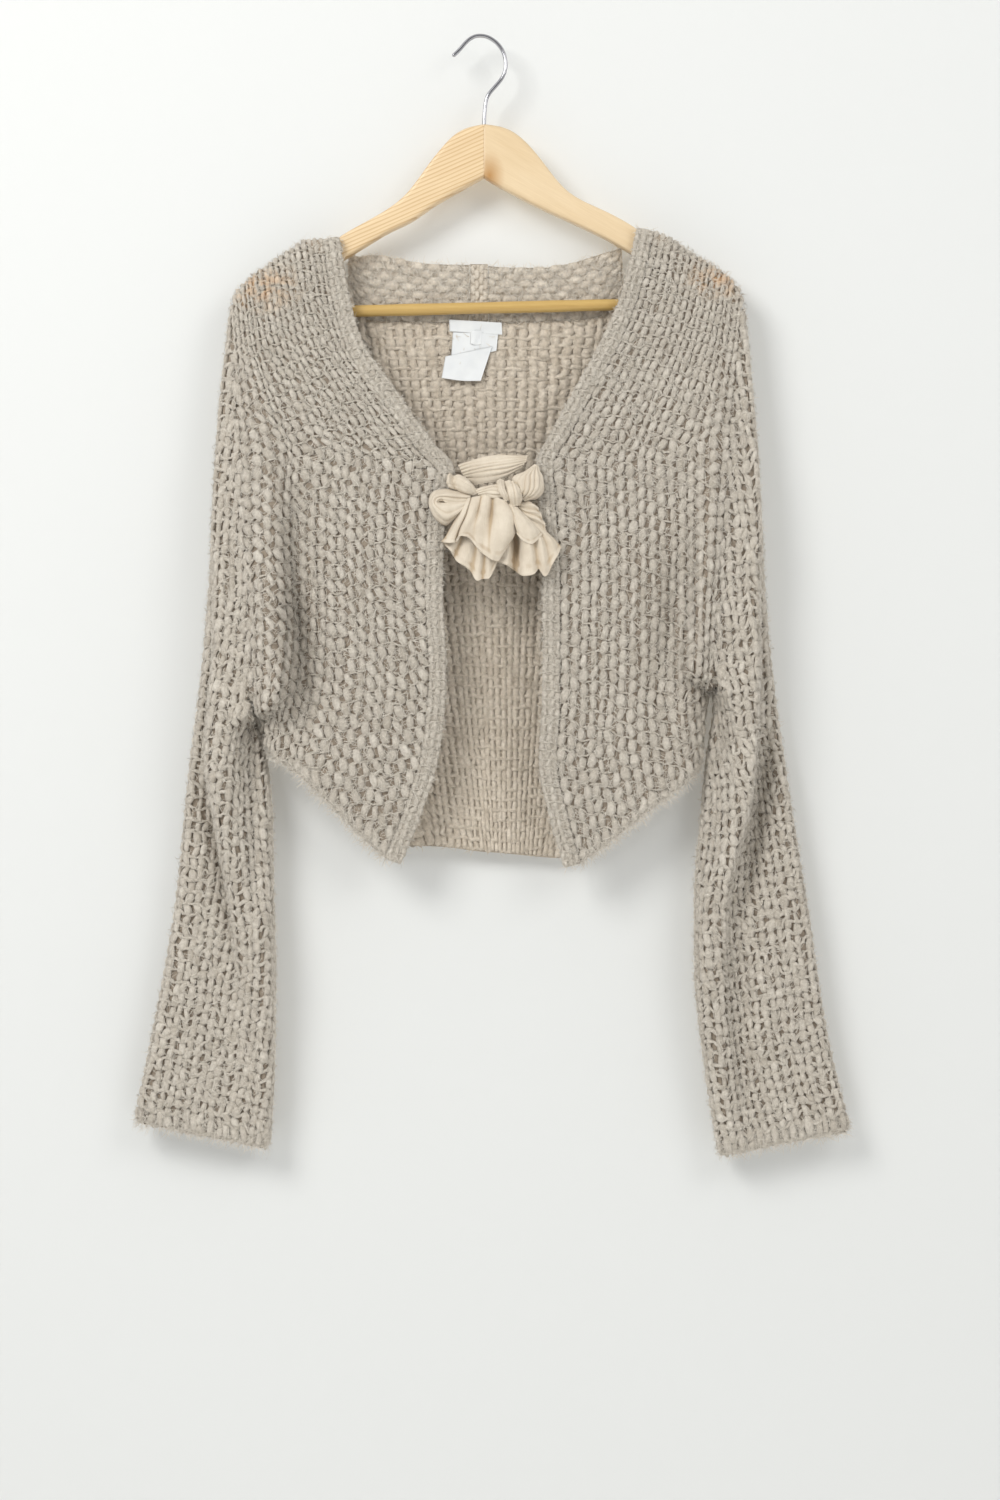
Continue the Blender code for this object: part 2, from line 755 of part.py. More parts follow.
def add_back(knit):
    last = len(BACK_COLUMNS["low_x"]) - 1
    shares = np.array(BACK_SHARES)[None, :]
    rows = np.arange(0, last + BACK_ROW_STEP, BACK_ROW_STEP)[:, None]
    rows, shares = (np.array(grid) for grid in np.broadcast_arrays(rows, shares))
    rows[0] += seam_step(back_surface, 0, shares[0], 1)
    rows[-1] -= seam_step(back_surface, last, shares[-1], -1)
    points = back_surface(rows, shares)
    points[..., 1] += SEAM_GAP / 2
    directions = surface_directions(back_surface, rows, shares)
    for end, side in ((0, "left"), (-1, "right")):
        seam = surface_directions(layer_place(side, "back"), ARMHOLE_ROW, shares[end])
        turned = (seam * directions[end]).sum(-1, keepdims=True) < 0
        directions[end] = np.where(turned, -seam, seam)
    return add_shell("back", points, KNIT_WALL, knit, directions)


def add_sleeve(side, knit):
    last = len(COLUMNS[side]["low_out"]) - 1
    to_cuff = np.linspace(0, 1, SLEEVE_STATIONS)[:, None]
    layers = {
        "front": np.array(FRONT_SHARES)[None, :],
        "back": np.array(BACK_SHARES)[::-1][None, 1:-1],
    }
    points, directions = [], []
    for layer, shares in layers.items():
        place = layer_place(side, layer)
        first = ARMHOLE_ROW + seam_step(place, ARMHOLE_ROW, shares, 1)
        rows, shares = np.broadcast_arrays(first + to_cuff * (last - first), shares)
        points.append(place(rows, shares))
        wall = surface_directions(place, rows, shares)
        wall[0] = surface_directions(place, ARMHOLE_ROW, shares[0])
        directions.append(wall)
    points = np.concatenate(points, 1)
    directions = np.concatenate(directions, 1)
    centre = points.mean(1, keepdims=True)
    inward = ((points - centre) * directions).sum(-1, keepdims=True) < 0
    directions = np.where(inward, -directions, directions)
    return add_tube(f"sleeve_{side}", points, directions, KNIT_WALL, knit)


def add_band(side, knit):
    """The thick rolled band down one front edge, from the neck point to the hem corner."""
    share = np.array(FRONT_SHARES)
    out, z = inset_edge(side, share, BAND_WIDTH / 2)
    x = out if side == "right" else -out
    y = -front_level(side, out, z) - SEAM_GAP / 2
    path = np.stack([x, y, z], -1)
    along = np.gradient(path, axis=0)
    along /= np.linalg.norm(along, axis=-1, keepdims=True)
    front_axis = np.array([0.0, -1.0, 0.0]) + 0 * along
    side_axis = np.cross(along, front_axis)
    side_axis /= np.linalg.norm(side_axis, axis=-1, keepdims=True)
    return add_sweep(
        f"band_{side}", path, side_axis, front_axis, BAND_WIDTH / 2, BAND_THICKNESS / 2, knit
    )


def add_collar(side, knit):
    """Half of the stand-up collar, ruled from its seam on the back neck to its top edge."""
    rows = COLLARS[side]
    back_row = rows["back_row"]
    seam = back_surface(back_row, 1.0)
    step = 0.02
    along = back_surface(back_row + step, 1.0) - back_surface(back_row - step, 1.0)
    length = np.hypot(along[:, 0], along[:, 2])
    seam_x = seam[:, 0] - along[:, 2] / length * COLLAR_SEAM_GAP
    seam_z = seam[:, 2] + along[:, 0] / length * COLLAR_SEAM_GAP
    share = np.linspace(0, 1, 5)[None, :]
    x = seam_x[:, None] + share * (rows["top_x"] - seam_x)[:, None]
    z = seam_z[:, None] + share * (rows["top_z"] - seam_z)[:, None]
    y = back_level(x, np.full_like(z, SEAM_Z)) + COLLAR_LEAN * share
    return add_shell(f"collar_{side}", np.stack([x, y, z], -1), COLLAR_WALL, knit)


def add_collar_join(knit):
    """The short vertical strip that joins the two collar halves at the centre back."""
    x = JOIN_X + np.linspace(-JOIN_HALF_WIDTH, JOIN_HALF_WIDTH, 4)[:, None]
    z = np.linspace(SEAM_Z + JOIN_SEAM_GAP, JOIN_TOP_Z, 5)[None, :]
    x, z = np.broadcast_arrays(x, z)
    lean = COLLAR_LEAN * (z - SEAM_Z) / (JOIN_TOP_Z - SEAM_Z)
    y = back_level(x, np.full(x.shape, SEAM_Z)) + lean
    return add_shell("collar_join", np.stack([x, y, z], -1), COLLAR_WALL + 1.0, knit)


def between(start, end, share):
    """Places on the straight line from start to end."""
    start, end = np.array(start), np.array(end)
    return start + share[..., None] * (end - start)


def add_label(name, satin, upper, lower, lift):
    """A cloth label on the inside of the back, made from the back's own points."""
    across = np.linspace(0, 1, 5)[:, None]
    down = np.linspace(0, 1, 4)[None, :]
    across, down = np.broadcast_arrays(across, down)
    high, low = between(*upper, across), between(*lower, across)
    flat = high + down[..., None] * (low - high)
    y = back_level(flat[..., 0], flat[..., 1]) + SEAM_GAP / 2
    y = y - KNIT_WALL / 2 - LABEL_GAP - LABEL_WALL / 2 - lift
    points = np.stack([flat[..., 0], y, flat[..., 1]], -1)
    return add_shell(name, points, LABEL_WALL, satin)


# ---------------------------------------------------------------------------- the bow

def add_tail(name, rows, chiffon):
    """A bow end that leaves the knot and fans out in deep folds to its hem."""
    across = np.linspace(0, 1, 17)[:, None]
    down = np.linspace(0.0, 1, 5)[None, :]
    across, down = np.broadcast_arrays(across, down)
    values = {key: read(rows, "across", key, across) for key in TAIL_NAMES.split()[1:]}
    spread = down ** TAIL_FLARE
    x = values["root_x"] + spread * (values["hem_x"] - values["root_x"])
    z = values["root_z"] + down * (values["hem_z"] - values["root_z"])
    y = -(values["root_front"] + spread * (values["hem_front"] - values["root_front"]))
    return add_shell(name, np.stack([x, y, z], -1), CHIFFON_WALL, chiffon)


def add_loop(name, chiffon, root, angle, length, root_half, end_half, back, front):
    """A bow loop: a ribbon that goes out in front, turns and comes back behind."""
    turn = np.linspace(0, 1, 11)[:, None]
    across = np.linspace(-1, 1, 4)[None, :]
    turn, across = np.broadcast_arrays(turn, across)
    swell = np.sin(math.pi * turn)
    reach = swell ** 0.8 * length
    depth = (back + front) / 2 + (front - back) / 2 * np.cos(math.pi * turn)
    half = root_half + (end_half - root_half) * swell ** 0.7
    direction_x, direction_z = math.cos(math.radians(angle)), math.sin(math.radians(angle))
    x = root[0] + direction_x * reach - direction_z * across * half
    z = root[1] + direction_z * reach + direction_x * across * half
    return add_shell(name, np.stack([x, -depth, z], -1), CHIFFON_WALL, chiffon)


def add_strap(chiffon):
    """The gathered stretch of chiffon that ties the two front edges together."""
    across = np.linspace(0, 1, 10)[None, :]
    rows = {name: column[:, None] for name, column in STRAP.items()}
    along = np.linspace(0, 1, len(STRAP["x"]))[:, None]
    x = rows["x"] + rows["lower_shift"] * across
    z = rows["upper_z"] + across * (rows["lower_z"] - rows["upper_z"])
    pleats = np.sin(2 * math.pi * STRAP_PLEATS * across) * np.sin(math.pi * along)
    y = -(rows["front"] + STRAP_PLEAT_DEPTH * pleats)
    return add_shell("bow_strap", np.stack([x, y, z], -1), CHIFFON_WALL, chiffon)


def add_frill(chiffon):
    """The short ruffle that shows behind the right bow end."""
    down = np.linspace(0, 1, 7)[:, None]
    across = np.linspace(0, 1, 5)[None, :]
    down, across = np.broadcast_arrays(down, across)
    high = between(FRILL_ROOT[0], FRILL_HEM[0], down)
    low = between(FRILL_ROOT[1], FRILL_HEM[1], down)
    flat = high + across[..., None] * (low - high)
    wave = FRILL_WAVE_DEPTH * down * np.sin(2 * math.pi * FRILL_WAVES * across)
    points = np.stack([flat[..., 0], -(FRILL_FRONT + wave), flat[..., 1]], -1)
    return add_shell("bow_frill", points, CHIFFON_WALL, chiffon)


def add_knot(chiffon):
    """The tight knot at the middle of the bow."""
    half, middle = np.array(KNOT_HALF), np.array(KNOT_MIDDLE)
    rings, around = 8, 12
    points = [middle + half * (0, 0, 1)]
    for i in range(1, rings):
        tilt = math.pi * i / rings
        for j in range(around):
            turn = 2 * math.pi * j / around
            radial = math.sin(tilt) * (1 + KNOT_WAVE * math.cos(3 * turn))
            place = (radial * math.cos(turn), radial * math.sin(turn), math.cos(tilt))
            points.append(middle + half * place)
    points.append(middle - half * (0, 0, 1))
    lowest_ring = 1 + (rings - 2) * around
    faces = []
    for j in range(around):
        after = (j + 1) % around
        faces.append([0, 1 + j, 1 + after])
        faces.append([len(points) - 1, lowest_ring + after, lowest_ring + j])
    faces += grid_faces(rings - 1, around, 1, True, True)
    points = np.array(points)
    return add_mesh("bow_knot", points, face_out(points, faces), chiffon)


# ------------------------------------------------------------------------- the hanger

def add_arm(side, wood):
    """One wooden arm: its outline between the top and underside lines, rounded at the edges."""
    rows = ARMS[side]
    xs = np.linspace(rows["x"][0], rows["x"][-1], ARM_STATIONS)
    sign = 1 if side == "right" else -1
    order = rows["x"] * sign
    top = curve(order, rows["top_z"], xs * sign)
    low = curve(order, rows["low_z"], xs * sign)
    middle, half = (top + low) / 2, (top - low) / 2
    across = ARM_THICKNESS / 2
    flat = across - ARM_ROUNDING
    section = [
        (-flat, 1.0, 0.0),
        (flat, 1.0, 0.0),
        (across, 1.0, -ARM_ROUNDING),
        (across, -1.0, ARM_ROUNDING),
        (flat, -1.0, 0.0),
        (-flat, -1.0, 0.0),
        (-across, -1.0, ARM_ROUNDING),
        (-across, 1.0, -ARM_ROUNDING),
    ]
    rings = []
    for depth, end, shift in section:
        z = middle + end * half + shift
        rings.append(np.stack([xs, np.full_like(xs, depth), z], -1))
    points = np.stack(rings, 1)
    count, columns = points.shape[:2]
    faces = grid_faces(count, columns, 0, False, True)
    faces.append(list(range(columns))[::-1])
    faces.append([(count - 1) * columns + j for j in range(columns)])
    flat_points = points.reshape(-1, 3)
    arm = add_mesh(f"hanger_arm_{side}", flat_points, face_out(flat_points, faces), wood, False)
    slope = (BAR_RIGHT[1] - BAR_LEFT[1]) / (BAR_RIGHT[0] - BAR_LEFT[0])
    bore_left = (BAR_LEFT[0] - BORE_CLEARANCE, BAR_LEFT[1] - slope * BORE_CLEARANCE)
    bore_right = (BAR_RIGHT[0] + BORE_CLEARANCE, BAR_RIGHT[1] + slope * BORE_CLEARANCE)
    cut_bore(arm, f"bar_bore_{side}", bore_left, bore_right, BAR_RADIUS + BORE_CLEARANCE)
    seat_top = (HANGER_MIDDLE_X, CROWN_TOP_Z + HOOK_SEAT_DEPTH / 2)
    seat_low = (HANGER_MIDDLE_X, CROWN_TOP_Z - HOOK_SEAT_DEPTH)
    cut_bore(arm, f"hook_bore_{side}", seat_top, seat_low, HOOK_RADIUS + BORE_CLEARANCE)
    return arm


def add_cylinder(name, start, end, radius, made_of, sides=16):
    """A round bar in the hanger's middle plane, between two (x, z) places."""
    start, end = np.array([start[0], 0, start[1]]), np.array([end[0], 0, end[1]])
    axis = (end - start) / np.linalg.norm(end - start)
    forward = np.array([0.0, 1.0, 0.0])
    up = np.cross(axis, forward)
    turn = np.linspace(0, 2 * math.pi, sides + 1)[:-1]
    ring = radius * (np.cos(turn)[:, None] * forward + np.sin(turn)[:, None] * up)
    points = np.concatenate([start + ring, end + ring])
    faces = grid_faces(2, sides, 0, False, True)
    faces.append(list(range(sides))[::-1])
    faces.append([sides + j for j in range(sides)])
    return add_mesh(name, points, face_out(points, faces), made_of)


def cut_bore(arm, name, start, end, radius):
    """Drills a round hole from start to end."""
    cutter = add_cylinder(name, start, end, radius, arm.data.materials[0])
    cutter.hide_render = True
    cutter.display_type = "WIRE"
    cut = arm.modifiers.new(name, "BOOLEAN")
    cut.operation = "DIFFERENCE"
    cut.object = cutter


def add_hook(chrome):
    """The wire hook, a round wire swept along its route."""
    spline = bpy.data.curves.new("hanger_hook", "CURVE")
    spline.dimensions = "3D"
    spline.bevel_depth = HOOK_RADIUS * M
    spline.bevel_resolution = 3
    spline.use_fill_caps = True
    rows = HOOK_ROUTE
    lengths = np.hypot(np.diff(rows["x"]), np.diff(rows["z"]))
    along = np.concatenate([[0], np.cumsum(lengths)])
    at = np.linspace(0, along[-1], HOOK_POINTS)
    x, z = curve(along, rows["x"], at), curve(along, rows["z"], at)
    line = spline.splines.new("POLY")
    line.points.add(HOOK_POINTS - 1)
    for point, px, pz in zip(line.points, x, z):
        point.co = (px * M, 0, pz * M, 1)
    spline.materials.append(chrome)
    hook = bpy.data.objects.new("hanger_hook", spline)
    bpy.context.scene.collection.objects.link(hook)
    return hook


# ------------------------------------------------------------------------------ build

def main():
    for thing in list(bpy.data.objects):
        bpy.data.objects.remove(thing)
    knit = material("mohair_knit", (0.50, 0.455, 0.385), 0.95)
    chiffon = material("cream_chiffon", (0.66, 0.575, 0.45), 0.7)
    satin = material("white_satin", (0.78, 0.79, 0.78), 0.5)
    wood = material("varnished_wood", (0.74, 0.50, 0.25), 0.4)
    golden_wood = material("golden_wood", (0.58, 0.33, 0.10), 0.35)
    chrome = material("chrome_wire", (0.75, 0.75, 0.77), 0.15, 1.0)

    add_hook(chrome)
    for side in ("left", "right"):
        add_arm(side, wood)
    add_cylinder("hanger_bar", BAR_LEFT, BAR_RIGHT, BAR_RADIUS, golden_wood)

    add_back(knit)
    for side in ("left", "right"):
        add_front(side, knit)
        add_sleeve(side, knit)
        add_band(side, knit)
        add_collar(side, knit)
    add_collar_join(knit)
    for name, values in LABELS.items():
        add_label(name, satin, **values)

    add_strap(chiffon)
    add_knot(chiffon)
    for name, rows in TAILS.items():
        add_tail(name, rows, chiffon)
    for name, values in LOOPS.items():
        add_loop(name, chiffon, **values)
    add_frill(chiffon)


main()
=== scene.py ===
"""The looks of a cropped mohair cardigan tied with a chiffon bow, on a wooden hanger.

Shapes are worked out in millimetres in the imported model's frame, and M turns them into
metres, which the materials and lights use. The cloth follows the same tables as the
solids: a half of the cardigan is knitted sideways in columns ("row" counts them) that
run from its lower edge to its upper edge ("share"). The stitches are real geometry, in
columns over a thin web of cloth. On a cloth's grid "turn" stands for the share and is
spaced more closely at the two edges.
"""
import math

import bpy
import numpy as np
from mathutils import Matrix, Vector


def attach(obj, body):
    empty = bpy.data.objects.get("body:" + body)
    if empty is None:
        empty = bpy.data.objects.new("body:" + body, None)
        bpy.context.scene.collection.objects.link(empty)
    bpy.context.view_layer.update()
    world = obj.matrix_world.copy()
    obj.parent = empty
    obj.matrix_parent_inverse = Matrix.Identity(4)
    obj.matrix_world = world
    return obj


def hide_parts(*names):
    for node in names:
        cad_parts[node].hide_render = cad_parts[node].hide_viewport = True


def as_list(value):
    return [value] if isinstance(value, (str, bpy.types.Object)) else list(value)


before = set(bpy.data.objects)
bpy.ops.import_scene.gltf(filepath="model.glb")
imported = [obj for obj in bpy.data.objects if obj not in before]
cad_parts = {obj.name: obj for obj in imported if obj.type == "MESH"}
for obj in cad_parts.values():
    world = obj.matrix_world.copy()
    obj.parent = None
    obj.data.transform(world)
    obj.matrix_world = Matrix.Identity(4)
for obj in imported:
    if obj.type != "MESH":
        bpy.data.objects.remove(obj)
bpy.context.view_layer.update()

M = 0.001
BAND_WIDTH = 14.0
BAND_THICKNESS = 7.5
BAND_ROOM = 0.7
SEAM_GAP = 0.3
JOIN_X = -1.0
JOIN_HALF_WIDTH = 8.0
JOIN_TOP_Z = -200.0
UNDERARM_RADIUS = 24.0
FORWARD = np.array([0.0, -1.0, 0.0])


def table(columns, rows):
    """A short table as {column name: array}."""
    return dict(zip(columns.split(), np.array(rows, float).T))


# ------------------------------------------------------------------ the cloth's tables

# The lower and upper end of each column, from the front edge past the armhole to the cuff:
# how far out it lies from the middle, and its height
COLUMN_NAMES = "low_out low_z high_out high_z"
ARMHOLE_ROW = 7
LAST_ROW = 16
COLUMNS = {
    "left": table(COLUMN_NAMES, [
        (70, -737, 124, -181),
        (92, -719, 140, -182),
        (125, -686, 163, -194),
        (158, -656, 184, -207),
        (174, -647, 197, -216),
        (184, -637, 208, -225),
        (191, -620, 215, -234),
        (195, -603, 220, -248),
        (200, -602, 223, -275),
        (203, -612, 228, -319),
        (200, -628, 232, -373),
        (193, -648, 235, -431),
        (188, -696, 244, -551),
        (187, -756, 256, -649),
        (185, -832, 269, -774),
        (186, -912, 288, -881),
        (190, -990, 306, -967),
    ]),
    "right": table(COLUMN_NAMES, [
        (74, -740, 139, -173),
        (94, -727, 156, -180),
        (127, -702, 180, -194),
        (160, -678, 198, -204),
        (179, -663, 210, -212),
        (191, -648, 219, -219),
        (195, -620, 227, -227),
        (201, -591, 232, -239),
        (208, -584, 235, -263),
        (211, -593, 239, -308),
        (210, -614, 244, -368),
        (205, -642, 247, -426),
        (199, -703, 256, -547),
        (194, -764, 272, -667),
        (194, -832, 290, -780),
        (202, -912, 308, -895),
        (215, -996, 328, -975),
    ]),
}
# The front edge of each half, from hem corner to neck point
EDGE_NAMES = "share out z"
EDGES = {
    "left": table(EDGE_NAMES, [
        (0.00, 69, -737),
        (0.10, 49, -686),
        (0.19, 35, -638),
        (0.31, 29, -569),
        (0.44, 32, -498),
        (0.55, 30, -435),
        (0.64, 22, -389),
        (0.70, 43, -362),
        (0.79, 76, -315),
        (0.87, 103, -275),
        (0.94, 115, -235),
        (1.00, 124, -181),
    ]),
    "right": table(EDGE_NAMES, [
        (0.00, 74, -740),
        (0.09, 61, -694),
        (0.18, 52, -645),
        (0.28, 55, -591),
        (0.42, 55, -502),
        (0.54, 52, -435),
        (0.64, 49, -385),
        (0.70, 65, -352),
        (0.79, 89, -308),
        (0.87, 111, -266),
        (0.94, 128, -221),
        (1.00, 139, -173),
    ]),
}
# How far chest and sleeves stand in front of the hanger, and where one passes into the other
BASE = table("z chest sleeve side_out side_soft", [
    (-1000, 24, 8, 190, 30),
    (-740, 24, 8, 190, 30),
    (-620, 29, 8, 190, 30),
    (-500, 31, 9, 196, 40),
    (-400, 29, 11, 204, 45),
    (-320, 23, 12, 212, 45),
    (-250, 15, 12, 222, 45),
    (-170, 11, 11, 232, 45),
])
# The roll of cloth over each underarm and down the sleeve: where it starts, its crest and height
ROLL_NAMES = "z inner inner_soft crest crest_soft height"
ROLLS = {
    "left": table(ROLL_NAMES, [
        (-1000, 186, 12, 208, 20, 0),
        (-925, 186, 12, 209, 20, 2),
        (-860, 186, 12, 211, 13, 6),
        (-801, 189, 14, 217, 8, 13),
        (-754, 201, 30, 224, 7, 20),
        (-701, 206, 36, 233, 7, 27),
        (-642, 213, 24, 240, 7, 32),
        (-618, 212, 18, 239, 7, 31),
        (-594, 176, 16, 237, 7, 30),
        (-556, 168, 13, 234, 7, 27),
        (-502, 171, 13, 233, 8, 24),
        (-431, 172, 17, 238, 11, 18),
        (-368, 176, 30, 250, 16, 10),
        (-261, 195, 30, 262, 20, 1),
    ]),
    "right": table(ROLL_NAMES, [
        (-1000, 211, 12, 231, 20, 2),
        (-908, 200, 12, 221, 16, 6),
        (-823, 194, 12, 216, 10, 11),
        (-772, 197, 14, 218, 8, 16),
        (-736, 206, 24, 224, 7, 22),
        (-690, 213, 34, 236, 7, 28),
        (-642, 219, 26, 242, 7, 31),
        (-615, 221, 16, 243, 7, 30),
        (-590, 216, 16, 244, 7, 28.5),
        (-566, 184, 13, 245, 7, 26),
        (-502, 190, 13, 245, 8, 22),
        (-431, 194, 17, 251, 10, 16),
        (-368, 197, 30, 262, 16, 9),
        (-261, 206, 30, 274, 20, 1),
    ]),
}
# The dip in each front beside that roll
TROUGH_NAMES = "z out width depth"
TROUGHS = {
    "left": table(TROUGH_NAMES, [
        (-670, 160, 18, 0),
        (-620, 155, 20, 8),
        (-560, 152, 22, 12),
        (-500, 154, 22, 10),
        (-440, 156, 22, 5),
        (-380, 160, 20, 0),
    ]),
    "right": table(TROUGH_NAMES, [
        (-650, 176, 16, 0),
        (-610, 166, 18, 7),
        (-560, 160, 20, 10),
        (-500, 166, 20, 8),
        (-440, 172, 20, 4),
        (-380, 176, 20, 0),
    ]),
}
# Soft folds down the back, and how far the back lies behind the hanger
BACK_WAVES = table("x width height", [
    (-288, 26, 3.0),
    (-222, 30, 4.5),
    (-128, 34, 3.5),
    (-40, 40, -2.5),
    (62, 38, 3.0),
    (150, 30, -3.0),
    (236, 30, 4.0),
    (300, 24, -2.0),
])
WAVE_TOP_Z = -200
WAVE_FADE = 150
BACK_LEVEL = table("z level", [
    (-1000, 9.0),
    (-700, 11.5),
    (-450, 13.5),
    (-260, 12.0),
    (-170, 11.0),
])
# How round the folds at the upper and lower edge are, column by column, and where they close
UPPER_FOLD = table("row radius closed", [
    (0, 7, 0.0),
    (0.9, 7, 0.0),
    (1.5, 8, 1.0),
    (5, 8, 1.0),
    (7, 12, 1.0),
    (10, 16, 1.0),
    (12, 13, 1.0),
    (13, 9, 1.0),
    (16, 8, 1.0),
])
LOWER_FOLD = table("row radius closed", [
    (0, 8, 0.0),
    (4, 12, 0.0),
    (5, 16, 0.15),
    (6, 20, 0.6),
    (7, UNDERARM_RADIUS, 1.0),
    (12, 18, 1.0),
    (14, 9, 1.0),
    (16, 8, 1.0),
])
# The columns of the back from armhole to armhole, and how they fold at the two sides
BACK_COLUMNS = table("low_x low_z high_x high_z", [
    (-195, -603, -220, -248),
    (-184, -637, -208, -225),
    (-150, -668, -184, -207),
    (-105, -708, -154, -189),
    (-72, -722, -131, -183),
    (-48, -722, -120, -222),
    (-30, -723, -97, -251),
    (0, -727, -50, -253),
    (15, -728, 0, -254),
    (35, -730, 52, -252),
    (55, -732, 104, -249),
    (72, -733, 130, -222),
    (95, -722, 144, -176),
    (135, -695, 171, -188),
    (165, -672, 198, -204),
    (191, -648, 219, -219),
    (201, -591, 232, -239),
])
BACK_LAST_ROW = 16.0
BACK_FOLDS = table("from_side radius lower_closed", [
    (0, 12, 1.0),
    (0.15, 11.9, 1.0),
    (0.8, 10.6, 0.5),
    (1.6, 8.8, 0.0),
    (2, 8, 0.0),
    (4, 7, 0.0),
    (8, 7, 0.0),
])
# How many columns from each side the back's neck is cut out, and how softly that begins
NECK_START_ROW = 3.4
NECK_EASE_ROWS = 0.5
# The collar: where it meets the back's columns, and its upper edge
COLLAR_NAMES = "back_row top_x top_z"
COLLARS = {
    "left": table(COLLAR_NAMES, [
        (5.0, -118, -189),
        (5.5, -109, -193),
        (6.0, -94, -192),
        (6.5, -72, -195.5),
        (7.0, -49, -199.5),
        (7.5, -25, -200.5),
        (7.81, -9.4, -200.5),
    ]),
    "right": table(COLLAR_NAMES, [
        (8.15, 7.4, -201.5),
        (8.5, 26, -203),
        (9.0, 52, -203),
        (9.5, 79, -199.5),
        (10.0, 103, -192.5),
        (10.5, 118, -188),
        (11.0, 127, -186),
    ]),
}
COLLAR_LEAN = 2.5
COLLAR_SEAM_GAP = 0.6
JOIN_SEAM_GAP = 1.8
SEAM_Z = -254.0

# Main creases: ends (x, z), half-width, and how far they stand proud
FRONT_CREASES = (
    (-178, -410, -160, -570, 11, -8.0),
    (-168, -480, -153, -630, 17, -14.0),
    (-200, -592, -190, -655, 9, -5.0),
    (-120, -520, -150, -640, 12, 2.0),
    (118, -430, 122, -540, 8, -2.2),
    (182, -430, 160, -600, 10, -7.0),
    (203, -568, 206, -622, 7.5, -5.0),
    (98, -600, 150, -640, 14, 1.5),
    (-60, -640, -120, -610, 14, 1.2),
    (-248, -630, -209, -840, 9, -9.0),
    (266, -570, 229, -810, 10, -14.0),
    (228, -740, 238, -1010, 12, -9.0),
)
# Where the folds stretch the knit open: ends (x, z), half-width, and how much thinner it is
OPEN_KNIT = (
    (-176, -430, -152, -610, 20, 0.34),
    (-252, -620, -208, -850, 14, 0.2),
    (264, -590, 229, -800, 14, 0.28),
    (229, -750, 238, -1000, 14, 0.24),
    (176, -470, 162, -600, 18, 0.16),
    (-202, -590, -196, -660, 12, 0.35),
    (206, -570, 208, -630, 10, 0.35),
    (-110, -430, -120, -540, 26, 0.10),
    (120, -430, 150, -560, 30, 0.10),
)
BACK_CREASES = (
    (-150, -420, -176, -590, 10, -3.0),
    (-96, -560, -60, -700, 16, 2.0),
    (20, -420, 34, -700, 18, 2.0),
    (120, -520, 150, -660, 12, -2.5),
    (176, -420, 190, -560, 9, -3.0),
    (-232, -680, -214, -930, 8, -2.5),
    (238, -640, 250, -930, 8, -2.5),
)


# ---------------------------------------------------------------------------- maths

def slopes(xs, ys):
    """Slopes at the rows that keep a curve from overshooting them."""
    steps, rises = np.diff(xs), np.diff(ys)
    rate = rises / steps
    slope = np.empty_like(ys)
    slope[0], slope[-1] = rate[0], rate[-1]
    before, after = steps[:-1], steps[1:]
    weight_1, weight_2 = 2 * after + before, after + 2 * before
    same = rate[:-1] * rate[1:] > 0
    safe_1 = np.where(same, rate[:-1], 1.0)
    safe_2 = np.where(same, rate[1:], 1.0)
    mean = (weight_1 + weight_2) / (weight_1 / safe_1 + weight_2 / safe_2)
    slope[1:-1] = np.where(same, mean, 0.0)
    return slope


def curve(xs, ys, at):
    """A smooth curve through a table's rows, read at the places `at`."""
    at = np.clip(at, xs[0], xs[-1])
    row = np.clip(np.searchsorted(xs, at) - 1, 0, len(xs) - 2)
    step = xs[row + 1] - xs[row]
    t = (at - xs[row]) / step
    slope = slopes(xs, ys)
    start = (1 + 2 * t) * (1 - t) ** 2 * ys[row] + t * (1 - t) ** 2 * step * slope[row]
    end = t * t * (3 - 2 * t) * ys[row + 1] + t * t * (t - 1) * step * slope[row + 1]
    return start + end


def read(rows, at):
    """Every column of a table but its first, read at the places `at` of its first."""
    key, *names = rows
    return [curve(rows[key], rows[name], at) for name in names]


def read_rows(rows, row):
    """Every column of a table, read at row numbers that count from 0."""
    return [curve(np.arange(len(column), dtype=float), column, row) for column in rows.values()]


def ease(t):
    """0 below t = -1/2, 1 above t = 1/2 and smooth between."""
    t = np.clip(t + 0.5, 0, 1)
    return t * t * (3 - 2 * t)


def fold(distance, radius):
    """The rise of a round fold from its edge line, negative past the line."""
    share = np.clip(np.abs(distance) / radius, 0, 1)
    return np.sign(distance) * np.sqrt(1 - (1 - share) ** 2)


def unit(vectors):
    return vectors / np.maximum(np.linalg.norm(vectors, axis=-1, keepdims=True), 1e-9)


def grid_normals(points):
    return unit(np.cross(np.gradient(points, axis=0), np.gradient(points, axis=1)))


def lengths_along(path):
    """Length along a path from its start to each of its points."""
    return np.concatenate([[0], np.cumsum(np.linalg.norm(np.diff(path, axis=0), axis=-1))])


def creases(rows, x, z):
    """How far the listed creases stand proud at (x, z)."""
    total = np.zeros(np.broadcast(x, z).shape)
    for x0, z0, x1, z1, width, height in rows:
        length = math.hypot(x1 - x0, z1 - z0)
        along = ((x - x0) * (x1 - x0) + (z - z0) * (z1 - z0)) / length ** 2
        aside = ((x - x0) * (z1 - z0) - (z - z0) * (x1 - x0)) / length
        ends = ease(along * 2.5 - 0.5) * ease((1 - along) * 2.5 - 0.5)
        total = total + height * ends * np.exp(-(aside / width) ** 2)
    return total


# ------------------------------------------------------------- the cardigan's surface

EDGE_STEP = 0.004


